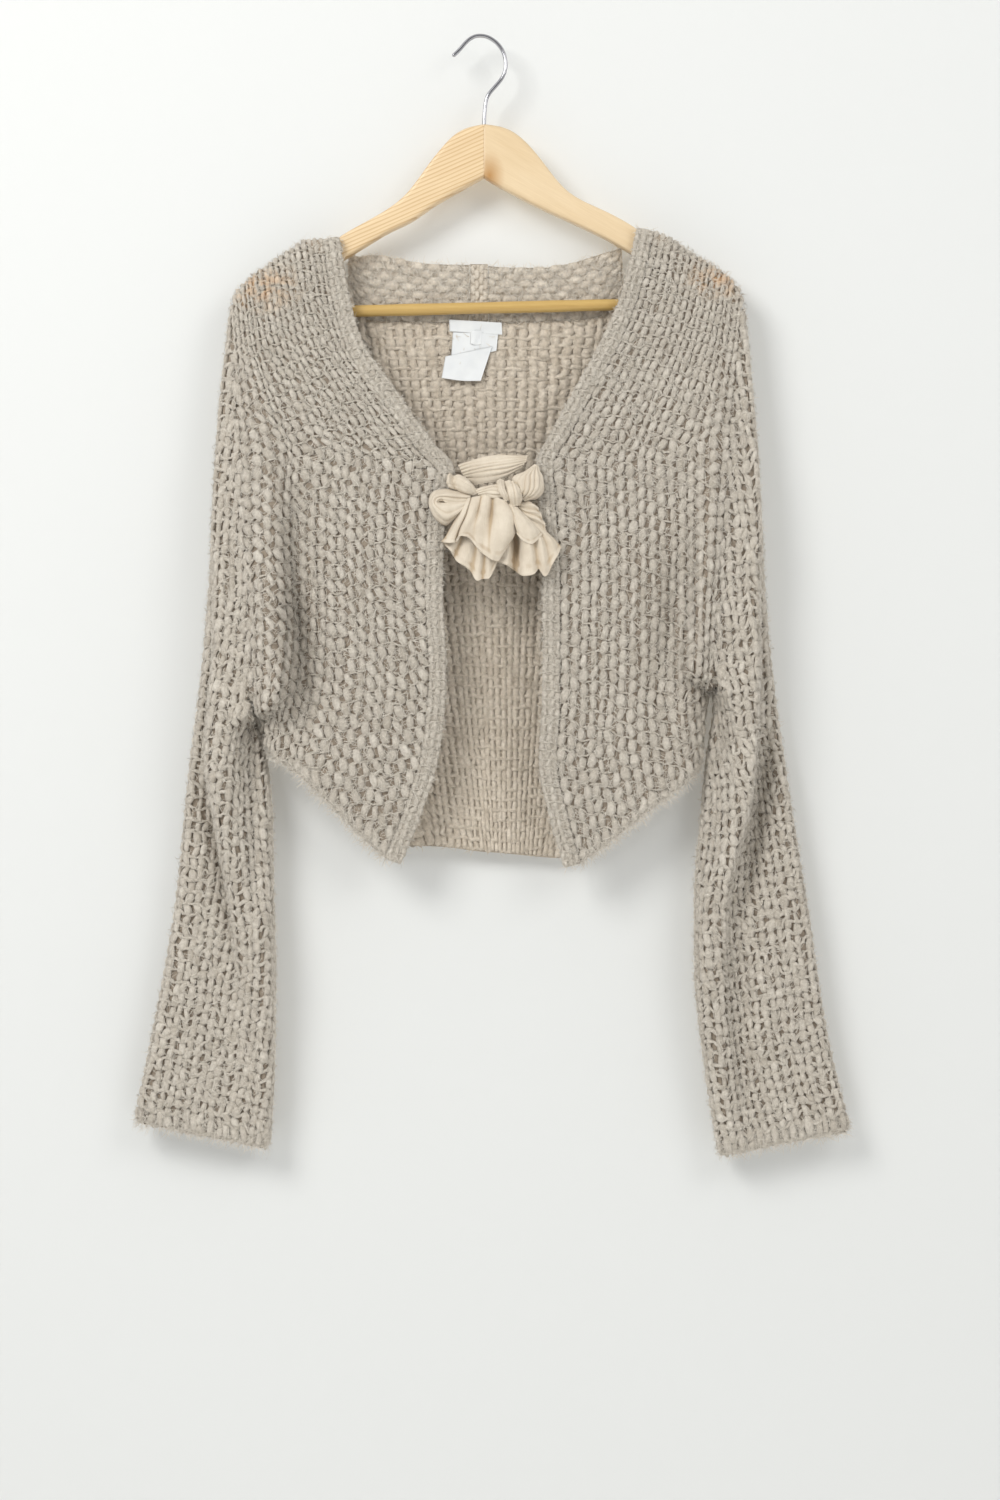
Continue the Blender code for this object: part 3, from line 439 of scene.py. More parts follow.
def inset_edge(side, share, inset):
    """Points of a front edge, moved `inset` into the cloth."""
    rows = EDGES[side]
    out, z = read(rows, share)
    ahead_out, ahead_z = read(rows, np.clip(share + EDGE_STEP, 0, 1))
    behind_out, behind_z = read(rows, np.clip(share - EDGE_STEP, 0, 1))
    d_out, d_z = ahead_out - behind_out, ahead_z - behind_z
    length = np.hypot(d_out, d_z)
    return out + inset * d_z / length, z - inset * d_out / length


def flat_place(side, row, share):
    """(out, z) of the cloth at a column's row number and its share from low to high, and the
    column's length. Towards the front the columns bend with the edge."""
    rows = COLUMNS[side]
    low_out, low_z, high_out, high_z = read_rows(rows, row)
    edge_out, edge_z = inset_edge(side, share, BAND_WIDTH + SEAM_GAP + BAND_ROOM)
    first_out = rows["low_out"][0] + share * (rows["high_out"][0] - rows["low_out"][0])
    first_z = rows["low_z"][0] + share * (rows["high_z"][0] - rows["low_z"][0])
    fade = np.clip(1 - row / ARMHOLE_ROW, 0, 1)
    out = low_out + share * (high_out - low_out) + fade * (edge_out - first_out)
    z = low_z + share * (high_z - low_z) + fade * (edge_z - first_z)
    return out, z, np.hypot(high_out - low_out, high_z - low_z)


def front_level(side, out, z):
    """How far the front layer stands in front of the hanger's middle plane."""
    chest, sleeve, side_out, side_soft = read(BASE, z)
    level = sleeve + (chest - sleeve) * ease((side_out - out) / side_soft)
    trough_out, width, depth = read(TROUGHS[side], z)
    level = level - depth * np.exp(-((out - trough_out) / width) ** 2)
    inner, inner_soft, crest, crest_soft, height = read(ROLLS[side], z)
    level = level + height * ease((out - inner) / inner_soft) * ease((crest - out) / crest_soft)
    return level + creases(FRONT_CREASES, out if side == "right" else -out, z)


def back_level(x, z):
    """How far the back layer lies behind the hanger's middle plane."""
    level, = read(BACK_LEVEL, z)
    fade = np.clip((WAVE_TOP_Z - z) / WAVE_FADE, 0, 1)
    for middle, width, height in zip(*BACK_WAVES.values()):
        level = level + fade * height * np.exp(-((x - middle) / width) ** 2)
    return level + creases(BACK_CREASES, x, z)


def half_surface(side, row, share, layer):
    """Points of one half's front or back layer, as an array of (x, y, z) in mm."""
    row, share = np.broadcast_arrays(np.asarray(row, float), np.asarray(share, float))
    inside = np.where(share > 1, 2 - share, share)
    inside = np.where(inside < 0, -inside, inside)
    out, z, length = flat_place(side, row, inside)
    x = out if side == "right" else -out
    radius, closed = read(UPPER_FOLD, row)
    upper = 1 - closed + closed * fold((1 - share) * length, radius)
    radius, closed = read(LOWER_FOLD, row)
    lower = 1 - closed + closed * fold(share * length, radius)
    if layer == "front":
        y = -front_level(side, out, z) * upper * lower
    else:
        y = back_level(x, z) * upper * lower
    return np.stack([x, y, z], -1)


def back_surface(row, share):
    """Points of the back panel between the armholes."""
    row, share = np.broadcast_arrays(np.asarray(row, float), np.asarray(share, float))
    from_side = np.minimum(row, BACK_LAST_ROW - row)
    neck = ease((from_side - NECK_START_ROW) / NECK_EASE_ROWS)
    inside = np.where(share > 1, share + (1 - neck) * (2 - 2 * share), share)
    low_x, low_z, high_x, high_z = read_rows(BACK_COLUMNS, row)
    x = low_x + inside * (high_x - low_x)
    z = low_z + inside * (high_z - low_z)
    length = np.hypot(high_x - low_x, high_z - low_z)
    radius, closed = read(BACK_FOLDS, from_side)
    upper = fold((1 - share) * length, radius)
    upper = upper + (1 - upper) * neck
    lower = 1 - closed + closed * fold(share * length, UNDERARM_RADIUS)
    return np.stack([x, back_level(x, z) * upper * lower, z], -1)


# ------------------------------------------------------------------------- materials

TIP_GLOWS = (
    ((-0.192, -0.010, -0.226), (0.040, 0.060, 0.027)),
    ((0.211, -0.010, -0.218), (0.036, 0.060, 0.024)),
)
TIP_TINT = (0.86, 0.55, 0.29)
BLACK = (0, 0, 0)
WHITE = (1, 1, 1)


def set_up(node, **values):
    """Sets a node's inputs and its other settings by name, with _ for each space."""
    for key, value in values.items():
        socket = key.replace("_", " ")
        if socket in node.inputs:
            node.inputs[socket].default_value = value
        else:
            setattr(node, key, value)
    return node


def add_node(tree, kind, **values):
    return set_up(tree.nodes.new(kind), **values)


def nodes_of(name, **values):
    """A new material, its node tree and its shader with some inputs set."""
    made = bpy.data.materials.new(name)
    made.use_nodes = True
    tree = made.node_tree
    return made, tree, set_up(tree.nodes["Principled BSDF"], **values)


def object_place(tree, scale=(1, 1, 1), rotation=(0, 0, 0)):
    """Object coordinates, in metres, first turned and then stretched."""
    coordinates = add_node(tree, "ShaderNodeTexCoord")
    turned = add_node(tree, "ShaderNodeMapping", Rotation=rotation)
    tree.links.new(coordinates.outputs["Object"], turned.inputs["Vector"])
    stretched = add_node(tree, "ShaderNodeMapping", Scale=scale)
    tree.links.new(turned.outputs["Vector"], stretched.inputs["Vector"])
    return stretched.outputs["Vector"]


def noise(tree, place, scale, detail=2.0, roughness=0.5):
    node = add_node(tree, "ShaderNodeTexNoise", Scale=scale, Detail=detail, Roughness=roughness)
    tree.links.new(place, node.inputs["Vector"])
    return node.outputs["Fac"]


def ramp(tree, factor, stops):
    node = add_node(tree, "ShaderNodeValToRGB")
    elements = node.color_ramp.elements
    while len(elements) < len(stops):
        elements.new(0.5)
    for element, (position, colour) in zip(elements, stops):
        element.position = position
        element.color = (*colour, 1.0)
    tree.links.new(factor, node.inputs["Fac"])
    return node.outputs["Color"]


def fill(tree, sockets, values):
    """Links or sets one value on each socket: an output, a number or a colour."""
    for socket, value in zip(sockets, values):
        if isinstance(value, bpy.types.NodeSocket):
            tree.links.new(value, socket)
        elif isinstance(value, (int, float)):
            socket.default_value = value
        else:
            socket.default_value = (*value, 1.0)


def mix_colours(tree, factor, first, second, blend="MIX"):
    node = add_node(tree, "ShaderNodeMix", data_type="RGBA", blend_type=blend)
    fill(tree, (node.inputs[0], node.inputs[6], node.inputs[7]), (factor, first, second))
    return node.outputs[2]


def multiply(tree, first, second):
    node = add_node(tree, "ShaderNodeMath", operation="MULTIPLY")
    fill(tree, node.inputs, (first, second))
    return node.outputs[0]


def attribute(tree, name):
    return add_node(tree, "ShaderNodeAttribute", attribute_name=name).outputs["Fac"]


def bump(tree, shader, height, strength, distance):
    node = add_node(tree, "ShaderNodeBump", Strength=strength, Distance=distance)
    tree.links.new(height, node.inputs["Height"])
    tree.links.new(node.outputs["Normal"], shader.inputs["Normal"])


def spot_mask(tree, centre, radii):
    """1 at a place of the object and 0 past an ellipsoid round it (metres)."""
    mapping = add_node(tree, "ShaderNodeMapping", Location=[-c / r for c, r in zip(centre, radii)],
                       Scale=[1 / r for r in radii])
    coordinates = add_node(tree, "ShaderNodeTexCoord")
    tree.links.new(coordinates.outputs["Object"], mapping.inputs["Vector"])
    gradient = add_node(tree, "ShaderNodeTexGradient", gradient_type="SPHERICAL")
    tree.links.new(mapping.outputs["Vector"], gradient.inputs["Vector"])
    return gradient.outputs["Fac"]


def wood_glow(tree, colour, strength):
    """The colour, warmed where the wood of the hanger's tips shows through the knit."""
    for centre, radii in TIP_GLOWS:
        patches = ramp(tree, noise(tree, object_place(tree), 130.0), [(0.42, BLACK), (0.6, WHITE)])
        mask = multiply(tree, spot_mask(tree, centre, radii), patches)
        mask = multiply(tree, mask, strength)
        colour = mix_colours(tree, mask, colour, TIP_TINT)
    return colour


def yarn_material(name, low, high, glow=0.0):
    """Brushed yarn: each stitch has its own tone, with woolly lumps and a soft sheen."""
    made, tree, shader = nodes_of(
        name, Roughness=0.95, Specular_IOR_Level=0.15, Sheen_Weight=0.35, Sheen_Roughness=0.55,
        Sheen_Tint=(1.0, 0.97, 0.92, 1.0))
    place = object_place(tree)
    colour = ramp(tree, attribute(tree, "tone"), [(0.0, low), (1.0, high)])
    blotch = noise(tree, place, 420.0, 4.0, 0.7)
    shade = ramp(tree, blotch, [(0.3, (0.76, 0.745, 0.72)), (0.7, (1.1, 1.1, 1.1))])
    colour = mix_colours(tree, 1.0, colour, shade, "MULTIPLY")
    if glow:
        colour = wood_glow(tree, colour, glow)
    tree.links.new(colour, shader.inputs["Base Color"])
    bump(tree, shader, noise(tree, place, 520.0, 5.0, 0.75), 0.8, 0.0022)
    return made


def web_material(name, colour):
    """The cloth behind the stitches, darker than the yarn as painted shade of the gaps between them, where
    the wood of the hanger shows through.
    """
    made, tree, shader = nodes_of(name, Roughness=1.0)
    shade = ramp(tree, noise(tree, object_place(tree), 500.0, 3.0, 0.6),
                 [(0.3, [0.8 * c for c in colour]), (0.7, [1.12 * c for c in colour])])
    tree.links.new(wood_glow(tree, shade, 1.0), shader.inputs["Base Color"])
    bump(tree, shader, noise(tree, object_place(tree), 700.0, 3.0), 0.6, 0.001)
    return made


def wood_material(name, tilt, stretch, bands, pale, line, strength, knot=None):
    """Varnished wood with its grain along one direction, tilted up from the X axis."""
    made, tree, shader = nodes_of(name, Roughness=0.42, Coat_Weight=0.35, Coat_Roughness=0.22)
    place = object_place(tree, stretch, (0.0, tilt, 0.0))
    wave = add_node(tree, "ShaderNodeTexWave", wave_type="BANDS", bands_direction="Z", wave_profile="SAW",
                    Scale=bands, Distortion=4.0, Detail=2.0, Detail_Scale=0.8)
    tree.links.new(place, wave.inputs["Vector"])
    grain = ramp(tree, wave.outputs["Fac"], [(0.0, pale), (0.55, pale), (0.9, line), (1.0, pale)])
    blotch = ramp(tree, noise(tree, place, 1.0, 4.0, 0.55), [(0.35, line), (0.65, pale)])
    colour = mix_colours(tree, strength, blotch, grain)
    fibre = noise(tree, object_place(tree, (40, 900, 1500), (0.0, tilt, 0.0)), 1.0, 3.0, 0.6)
    shade = ramp(tree, fibre, [(0.3, (0.94, 0.92, 0.88)), (0.7, (1.03, 1.03, 1.03))])
    colour = mix_colours(tree, 1.0, colour, shade, "MULTIPLY")
    if knot:
        centre, radii, tint = knot
        colour = mix_colours(tree, spot_mask(tree, centre, radii), colour, tint)
    tree.links.new(colour, shader.inputs["Base Color"])
    bump(tree, shader, fibre, 0.12, 0.0004)
    return made


def chiffon_material():
    """Crinkled chiffon, with painted shade: darker where its tones say that a fold dips."""
    made, tree, shader = nodes_of("cream_chiffon", Roughness=0.8, Specular_IOR_Level=0.2,
                                  Sheen_Weight=0.25, Sheen_Roughness=0.4)
    cloud = noise(tree, object_place(tree), 60.0, 4.0, 0.6)
    colour = ramp(tree, cloud, [(0.3, (0.60, 0.52, 0.41)), (0.7, (0.73, 0.65, 0.53))])
    # painted shade: the tone attribute darkens the colour in the dips of the folds
    dips = ramp(tree, attribute(tree, "tone"), [(0.05, (0.72, 0.64, 0.54)), (0.65, WHITE)])
    colour = mix_colours(tree, 1.0, colour, dips, "MULTIPLY")
    tree.links.new(colour, shader.inputs["Base Color"])
    crinkle = noise(tree, object_place(tree, (700, 700, 130)), 1.0, 4.0, 0.65)
    bump(tree, shader, crinkle, 0.55, 0.0012)
    return made


def satin_material():
    made, tree, shader = nodes_of("white_satin", Roughness=0.42, Sheen_Weight=0.15)
    cloud = noise(tree, object_place(tree), 80.0, 3.0)
    colour = ramp(tree, cloud, [(0.3, (0.70, 0.72, 0.725)), (0.7, (0.76, 0.775, 0.77))])
    tree.links.new(colour, shader.inputs["Base Color"])
    bump(tree, shader, noise(tree, object_place(tree, (300, 300, 4000)), 1.0), 0.25, 0.0002)
    return made


def plain_material(name, colour, roughness, **values):
    return nodes_of(name, Base_Color=(*colour, 1.0), Roughness=roughness, **values)[0]


YARN = yarn_material("mohair_yarn", (0.555, 0.50, 0.42), (0.785, 0.73, 0.64), 0.75)
# painted light: a lighter copy of the yarn for the inside of the back, which lies in shade
INNER_YARN_PAINTED_LIGHT = yarn_material("mohair_inner_yarn_painted_light", (0.69, 0.60, 0.485), (0.84, 0.75, 0.625))
COLLAR_YARN = yarn_material("mohair_collar_yarn", (0.64, 0.565, 0.465), (0.86, 0.785, 0.67))
# painted shade: the webs are darker than the yarn, standing for the shade deep in the gaps between stitches
WEB_PAINTED_SHADE = web_material("mohair_web_painted_shade", (0.36, 0.30, 0.235))
BACK_WEB_PAINTED_SHADE = web_material("mohair_back_web_painted_shade", (0.50, 0.43, 0.345))
FUZZ = yarn_material("mohair_fuzz", (0.64, 0.59, 0.51), (0.88, 0.83, 0.74), 0.5)
INNER_FUZZ = yarn_material("mohair_inner_fuzz", (0.60, 0.52, 0.41), (0.82, 0.74, 0.61))

CHIFFON = chiffon_material()
SATIN = satin_material()
WOOD = {
    "left": wood_material("varnished_wood_left", math.radians(24), (7, 60, 60), 1.6,
                          (0.80, 0.62, 0.385), (0.58, 0.375, 0.175), 0.8),
    "right": wood_material("varnished_wood_right", math.radians(-30), (8, 30, 30), 1.0,
                           (0.775, 0.615, 0.40), (0.715, 0.545, 0.33), 0.2,
                           ((0.0085, -0.0065, -0.125), (0.014, 0.05, 0.022), (0.47, 0.24, 0.07))),
}
BAR_WOOD = wood_material("golden_wood", math.radians(1.4), (3, 200, 200), 1.2,
                         (0.62, 0.43, 0.145), (0.47, 0.28, 0.072), 0.4)
CHROME = plain_material("chrome_wire", (0.46, 0.46, 0.48), 0.2, Metallic=1.0)


# ----------------------------------------------------------------------- mesh makers

def add_mesh(name, points, faces, made_of, tones=None, smooth=True):
    """An object from points in mm and a list of arrays of faces, each with its own corner count."""
    points = np.ascontiguousarray(np.asarray(points, np.float64).reshape(-1, 3) * M, np.float32)
    faces = [np.asarray(part, np.int32) for part in faces]
    sizes = np.concatenate([np.full(len(part), part.shape[1]) for part in faces])
    corners = np.concatenate([part.ravel() for part in faces])
    mesh = bpy.data.meshes.new(name)
    mesh.vertices.add(len(points))
    mesh.vertices.foreach_set("co", points.ravel())
    mesh.loops.add(len(corners))
    mesh.loops.foreach_set("vertex_index", corners)
    mesh.polygons.add(len(sizes))
    starts = np.concatenate([[0], np.cumsum(sizes)[:-1]]).astype(np.int32)
    mesh.polygons.foreach_set("loop_start", starts)
    mesh.polygons.foreach_set("use_smooth", np.full(len(sizes), smooth))
    mesh.update(calc_edges=True)
    if tones is not None:
        layer = mesh.attributes.new("tone", "FLOAT", "POINT")
        layer.data.foreach_set("value", np.ascontiguousarray(tones, np.float32).ravel())
    mesh.materials.append(made_of)
    thing = bpy.data.objects.new(name, mesh)
    bpy.context.scene.collection.objects.link(thing)
    return thing


def grid_faces(rows, columns, start, wrap):
    """Four-cornered faces of a grid whose points start at number `start`."""
    i = np.arange(rows - 1)[:, None]
    j = np.arange(columns if wrap else columns - 1)[None, :]
    right = (j + 1) % columns
    a, b = start + i * columns + j, start + i * columns + right
    return np.stack([a, b, b + columns, a + columns], -1).reshape(-1, 4)


def face_out(points, faces):
    """The faces, all turned round if they enclose a negative volume."""
    corner = points[faces]
    first = np.einsum("ij,ij->i", corner[:, 0], np.cross(corner[:, 1], corner[:, 2]))
    second = np.einsum("ij,ij->i", corner[:, 0], np.cross(corner[:, 2], corner[:, 3]))
    return faces if (first + second).sum() > 0 else faces[:, ::-1]


def add_shell(name, points, normals, low, high, made_of, ring=False, tones=None):
    """A thin closed wall between two offsets from a grid of points."""
    rows, columns = points.shape[:2]
    count = rows * columns
    both = np.concatenate([
        (points + normals * high).reshape(-1, 3), (points + normals * low).reshape(-1, 3)
    ])
    faces = [grid_faces(rows, columns, 0, ring), grid_faces(rows, columns, count, ring)[:, ::-1]]
    if ring:
        j = np.arange(columns)
        for end, flip in ((0, True), ((rows - 1) * columns, False)):
            a, b = end + j, end + (j + 1) % columns
            rim = np.stack([a, a + count, b + count, b], -1)
            faces.append(rim[:, ::-1] if flip else rim)
    else:
        rim = [(i, 0) for i in range(rows)]
        rim += [(rows - 1, j) for j in range(1, columns)]
        rim += [(i, columns - 1) for i in range(rows - 2, -1, -1)]
        rim += [(0, j) for j in range(columns - 2, 0, -1)]
        a = np.array([i * columns + j for i, j in rim])
        b = np.roll(a, -1)
        faces.append(np.stack([a, a + count, b + count, b], -1))
    tones = None if tones is None else np.stack([tones, tones])
    return add_mesh(name, both, [face_out(both, np.concatenate(faces))], made_of, tones)


def tube_points(path, normals, wide, tall, sides):
    """Rings round a path: `wide` across the cloth and `tall` out of it."""
    tangent = unit(np.gradient(path, axis=0))
    across = unit(np.cross(tangent, normals))
    out = np.cross(across, tangent)
    turn = np.linspace(0, 2 * math.pi, sides + 1)[:-1] + math.pi / sides
    return (
        path[:, None]
        + across[:, None] * (np.cos(turn)[None, :] * wide[:, None])[..., None]
        + out[:, None] * (np.sin(turn)[None, :] * tall[:, None])[..., None]
    )


class Tubes:
    """Gathers many tubes, each with a tone for each ring, into one mesh."""

    def __init__(self, sides):
        self.sides, self.count = sides, 0
        self.points, self.faces, self.ends, self.tones = [], [], [], []

    def follow(self, path, normals, wide, tall, tones):
        """Adds a tube along a path."""
        self.add(tube_points(path, normals, wide, tall, self.sides), tones)

    def add(self, rings, tones):
        rows, sides = rings.shape[:2]
        self.points.append(rings.reshape(-1, 3))
        self.tones.append(np.repeat(tones, sides))
        self.faces.append(grid_faces(rows, sides, self.count, True))
        ring = np.arange(sides)
        self.ends.append(self.count + ring[::-1])
        self.ends.append(self.count + (rows - 1) * sides + ring)
        self.count += rows * sides

    def make(self, name, made_of):
        points, faces = np.concatenate(self.points), np.concatenate(self.faces)
        turned = face_out(points, faces)
        ends = np.array(self.ends)
        ends = ends if turned is faces else ends[:, ::-1]
        return add_mesh(name, points, [turned, ends], made_of, np.concatenate(self.tones))


def declare(piece, node=None):
    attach(piece, "root")
    if node:
        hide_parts(node)
    return piece


# -------------------------------------------------------------------- cloth and yarn

def share_at(turn):
    """A place up a column from an evenly sampled turn: closer at the two edges."""
    whole = np.floor(turn)
    return whole + (1 - np.cos(math.pi * (turn - whole))) / 2


class Cloth:
    """One layer of cloth on a fine grid: its points, outward normals and lengths."""

    def __init__(self, place, first, last, turns, outward, step=0.05):
        count = int(round((last - first) / step)) + 1
        self.rows, self.turns = np.linspace(first, last, count), turns
        self.points = place(self.rows[:, None], turns[None, :])
        d_row = np.gradient(self.points, self.rows, axis=0)
        d_turn = np.gradient(self.points, turns, axis=1)
        normals = unit(np.cross(d_row, d_turn))
        middle = np.abs(turns - 0.5).argmin()
        facing = (normals[:, middle] @ np.array(outward)).mean()
        self.normals = normals * math.copysign(1, facing)
        up = unit(d_turn)
        self.widths = np.linalg.norm(d_row - up * (d_row * up).sum(-1, keepdims=True), axis=-1)
        steps = np.linalg.norm(np.diff(self.points, axis=1), axis=-1)
        lengths = np.concatenate([np.zeros((count, 1)), np.cumsum(steps, 1)], 1)
        at_edge = np.abs(turns - 1).argmin()
        self.lengths = lengths[:, at_edge:at_edge + 1] - lengths

    def sample(self, grid, row, turn):
        """A grid's values at places between its own."""
        i, j = (np.clip((at - ticks[0]) / (ticks[1] - ticks[0]), 0, len(ticks) - 1.001)
                for at, ticks in ((row, self.rows), (turn, self.turns)))
        i0, j0 = i.astype(int), j.astype(int)
        fi, fj = i - i0, j - j0
        if grid.ndim == 3:
            fi, fj = fi[..., None], fj[..., None]
        low = grid[i0, j0] * (1 - fj) + grid[i0, j0 + 1] * fj
        high = grid[i0 + 1, j0] * (1 - fj) + grid[i0 + 1, j0 + 1] * fj
        return low * (1 - fi) + high * fi

    def point_and_normal(self, row, turn, side):
        """Points of the cloth and the normals out of its outer (1) or inner (-1) side."""
        return self.sample(self.points, row, turn), unit(self.sample(self.normals, row, turn)) * side

    def spacing(self, pitch):
        """How many columns there are, and the table that turns a column number into a row."""
        width = self.widths[:, self.turns <= 1.0].mean(1)
        total = np.concatenate([[0], np.cumsum((width[1:] + width[:-1]) / 2 * np.diff(self.rows))])
        count = max(1, int(round(total[-1] / pitch)))
        return count, total / total[-1] * count

    def rows_each(self, numbers, at):
        """How many rows a column takes at a column number."""
        return np.interp(at, numbers[:-1], np.diff(self.rows) / np.diff(numbers))

    def lengths_at(self, row):
        """Lengths from the upper edge along a row, at the grid's turns."""
        return self.sample(self.lengths, np.full(len(self.turns), row), self.turns)


LOOP_STEPS = 12
LOOP_OVERLAP = 0.85
LOOP_WIDTHS = (1.1, 4.4)
LOOP_TRIM = 1.0
LOOP_WANDER = 0.03


def knit(tubes, cloth, pitch, period, rng, side, lift, dip, fat, tall, thin):
    """Yarn courses over the cloth. Each course snakes between two columns of stitches, and
    stands up in a fat oval stitch in each before it dips back across to the other."""
    count, numbers = cloth.spacing(pitch)
    for j in range(count):
        lengths = cloth.lengths_at(np.interp(j + 0.5, numbers, cloth.rows))
        low, high = (lengths[-1] + LOOP_TRIM) / period, (lengths[0] - LOOP_TRIM) / period
        first, last = math.ceil(low * LOOP_STEPS), math.floor(high * LOOP_STEPS)
        if last - first < 4:
            continue
        phase = np.arange(first, last + 1) * (2 * math.pi / LOOP_STEPS)
        stitch = np.round(phase / math.pi).astype(int) - int(round(phase[0] / math.pi))
        size = rng.normal(1.0, 0.09, stitch.max() + 2)[stitch]
        slip = rng.normal(0.0, 0.03, stitch.max() + 2)[stitch]
        along = period / (2 * math.pi) * (phase + LOOP_OVERLAP * np.sin(2 * phase)) + slip * period
        turn = np.interp(-along, -lengths, cloth.turns)
        drift = LOOP_WANDER * (np.sin(along / 31.0 + j * 1.7) + np.sin(along / 13.0 + j * 2.9))
        number = j + 0.5 + (np.clip(np.cos(phase) * 1.3, -1, 1) * 0.25 + drift)
        row = np.interp(np.clip(number, 0.02, count - 0.02), numbers, cloth.rows)
        point, normal = cloth.point_and_normal(row, turn, side)
        column = cloth.sample(cloth.widths, row, turn) * cloth.rows_each(numbers, j + 0.5) / 2
        raised = np.abs(np.cos(phase))
        bulge = raised ** 0.7
        full = np.clip(column * fat, *LOOP_WIDTHS) * size
        slim = np.minimum(thin, full * 0.7)
        wide = slim + (full - slim) * bulge
        deep = slim + (np.minimum(tall, full) - slim) * bulge
        height = dip + (lift - dip) * raised ** 1.1 + rng.normal(0, 0.15, len(phase)) * raised
        # painted shade: the tone is darker where the yarn crosses low between the stitches
        tone = rng.normal(0.5, 0.2, stitch.max() + 2)[stitch] - 0.1 * (1 - raised)
        tubes.follow(point + normal * height[:, None], normal, wide, deep, np.clip(tone, 0, 1))


STRAND_AT = np.array([0.0, 0.2, 0.5, 0.8])
STRAND_WIDTHS = (1.0, 9.0)
STRAND_CORE = 1.3
THIN_SHARE = 0.12
THIN_SIZE = 0.7
SIZE_SPREAD = 0.12
LEAN_FADE = 2.2
LEAN_SPREAD = 0.16
TONE_SPREAD = 0.2


def strand(tubes, cloth, row, turn, half, rng, fat, tall, pinch, lift=1.6, dip=0.2, lean=0.0, side=1.0):
    """A column of stitches through its knots (row, turn): fat between them and thin at each.
    `half` is half its width, as a number or a function of (row, turn)."""
    cells = len(row) - 1
    at = np.append((np.arange(cells)[:, None] + STRAND_AT).ravel(), cells)
    cell = np.minimum(at.astype(int), cells - 1)
    part = np.clip(at - cell, 0, 1)
    knots = np.arange(cells + 1)
    row, turn = np.interp(at, knots, row), np.interp(at, knots, turn)
    point, normal = cloth.point_and_normal(row, turn, side)
    half = half(row, turn) if callable(half) else np.full(len(at), half)
    swell = np.sin(math.pi * part) ** 0.55
    size = rng.normal(1.0, SIZE_SPREAD, cells)[cell]
    size = np.where(rng.random(cells)[cell] < THIN_SHARE, size * THIN_SIZE, size)
    full = np.clip(half * fat, *STRAND_WIDTHS) * size
    full = full * (1 - creases(OPEN_KNIT, point[:, 0], point[:, 2]))
    slim = full * pinch
    wide = slim + (full - slim) * swell
    deep = STRAND_CORE + (np.minimum(tall, full) - STRAND_CORE) * swell
    across = np.cross(unit(np.gradient(point, axis=0)), normal)
    upright = np.clip(LEAN_FADE * (1 - turn[:-1:len(STRAND_AT)]), 0, 1)
    leaning = np.sin(2 * math.pi * part) * rng.normal(lean * upright, LEAN_SPREAD, cells)[cell]
    slant = leaning + rng.normal(0, 0.06, len(at))
    height = dip + (lift - dip) * swell + rng.normal(0, 0.12, len(at))
    path = point + across * (slant * half)[:, None] + normal * height[:, None]
    # painted shade: the tone is darker at the thin, low knots between the stitches
    tone = rng.normal(0.5, TONE_SPREAD, cells)[cell] - 0.12 * (1 - swell)
    tubes.follow(path, normal, wide, deep, np.clip(tone, 0, 1))


CORD_RISE_SPREAD = 0.3
CORD_SIZE_SPREAD = 0.2
CORD_TONE = (0.48, 0.16)


def cross_cord(tubes, cloth, row, turn, rng, side=1.0, height=0.9, wide=2.1, deep=1.35, stray=0.5):
    """A thin wavy cord that runs across the columns, over the knots between stitches."""
    point, normal = cloth.point_and_normal(row, turn, side)
    along = np.cross(normal, unit(np.gradient(point, axis=0)))
    aside = rng.normal(0, stray, len(row))
    rise = height + rng.normal(0, CORD_RISE_SPREAD, len(row))
    size = rng.normal(1, CORD_SIZE_SPREAD, len(row))
    path = point + along * aside[:, None] + normal * rise[:, None]
    tone = np.clip(rng.normal(*CORD_TONE, len(row)), 0, 1)
    tubes.follow(path, normal, wide * size, deep * size, tone)


UPPER_REACH = 150.0
WEAVE_TRIM = 1.5
KNOT_SHIFT = 0.09
KNOT_SPREAD = 0.06
KNOT_ROOM = 0.4
# How the lines of knots sway: by how many stitches, over how many columns, and the phase
KNOT_SWAYS = ((0.12, 3.1, 0.0), (0.08, 1.3, 1.0))


def knot_shifts(count, rng, shift=KNOT_SHIFT, spread=KNOT_SPREAD):
    """How far each column's knots lie from the even line, in stitches: up and down by turns."""
    return shift * (-1.0) ** np.arange(count) + rng.normal(0, spread, count)


def runs(good, least):
    """The unbroken runs of places where `good` holds, at least `least` places long."""
    parts = np.split(np.arange(len(good)), np.flatnonzero(np.diff(good.astype(int))) + 1)
    return [part for part in parts if good[part[0]] and len(part) >= least]


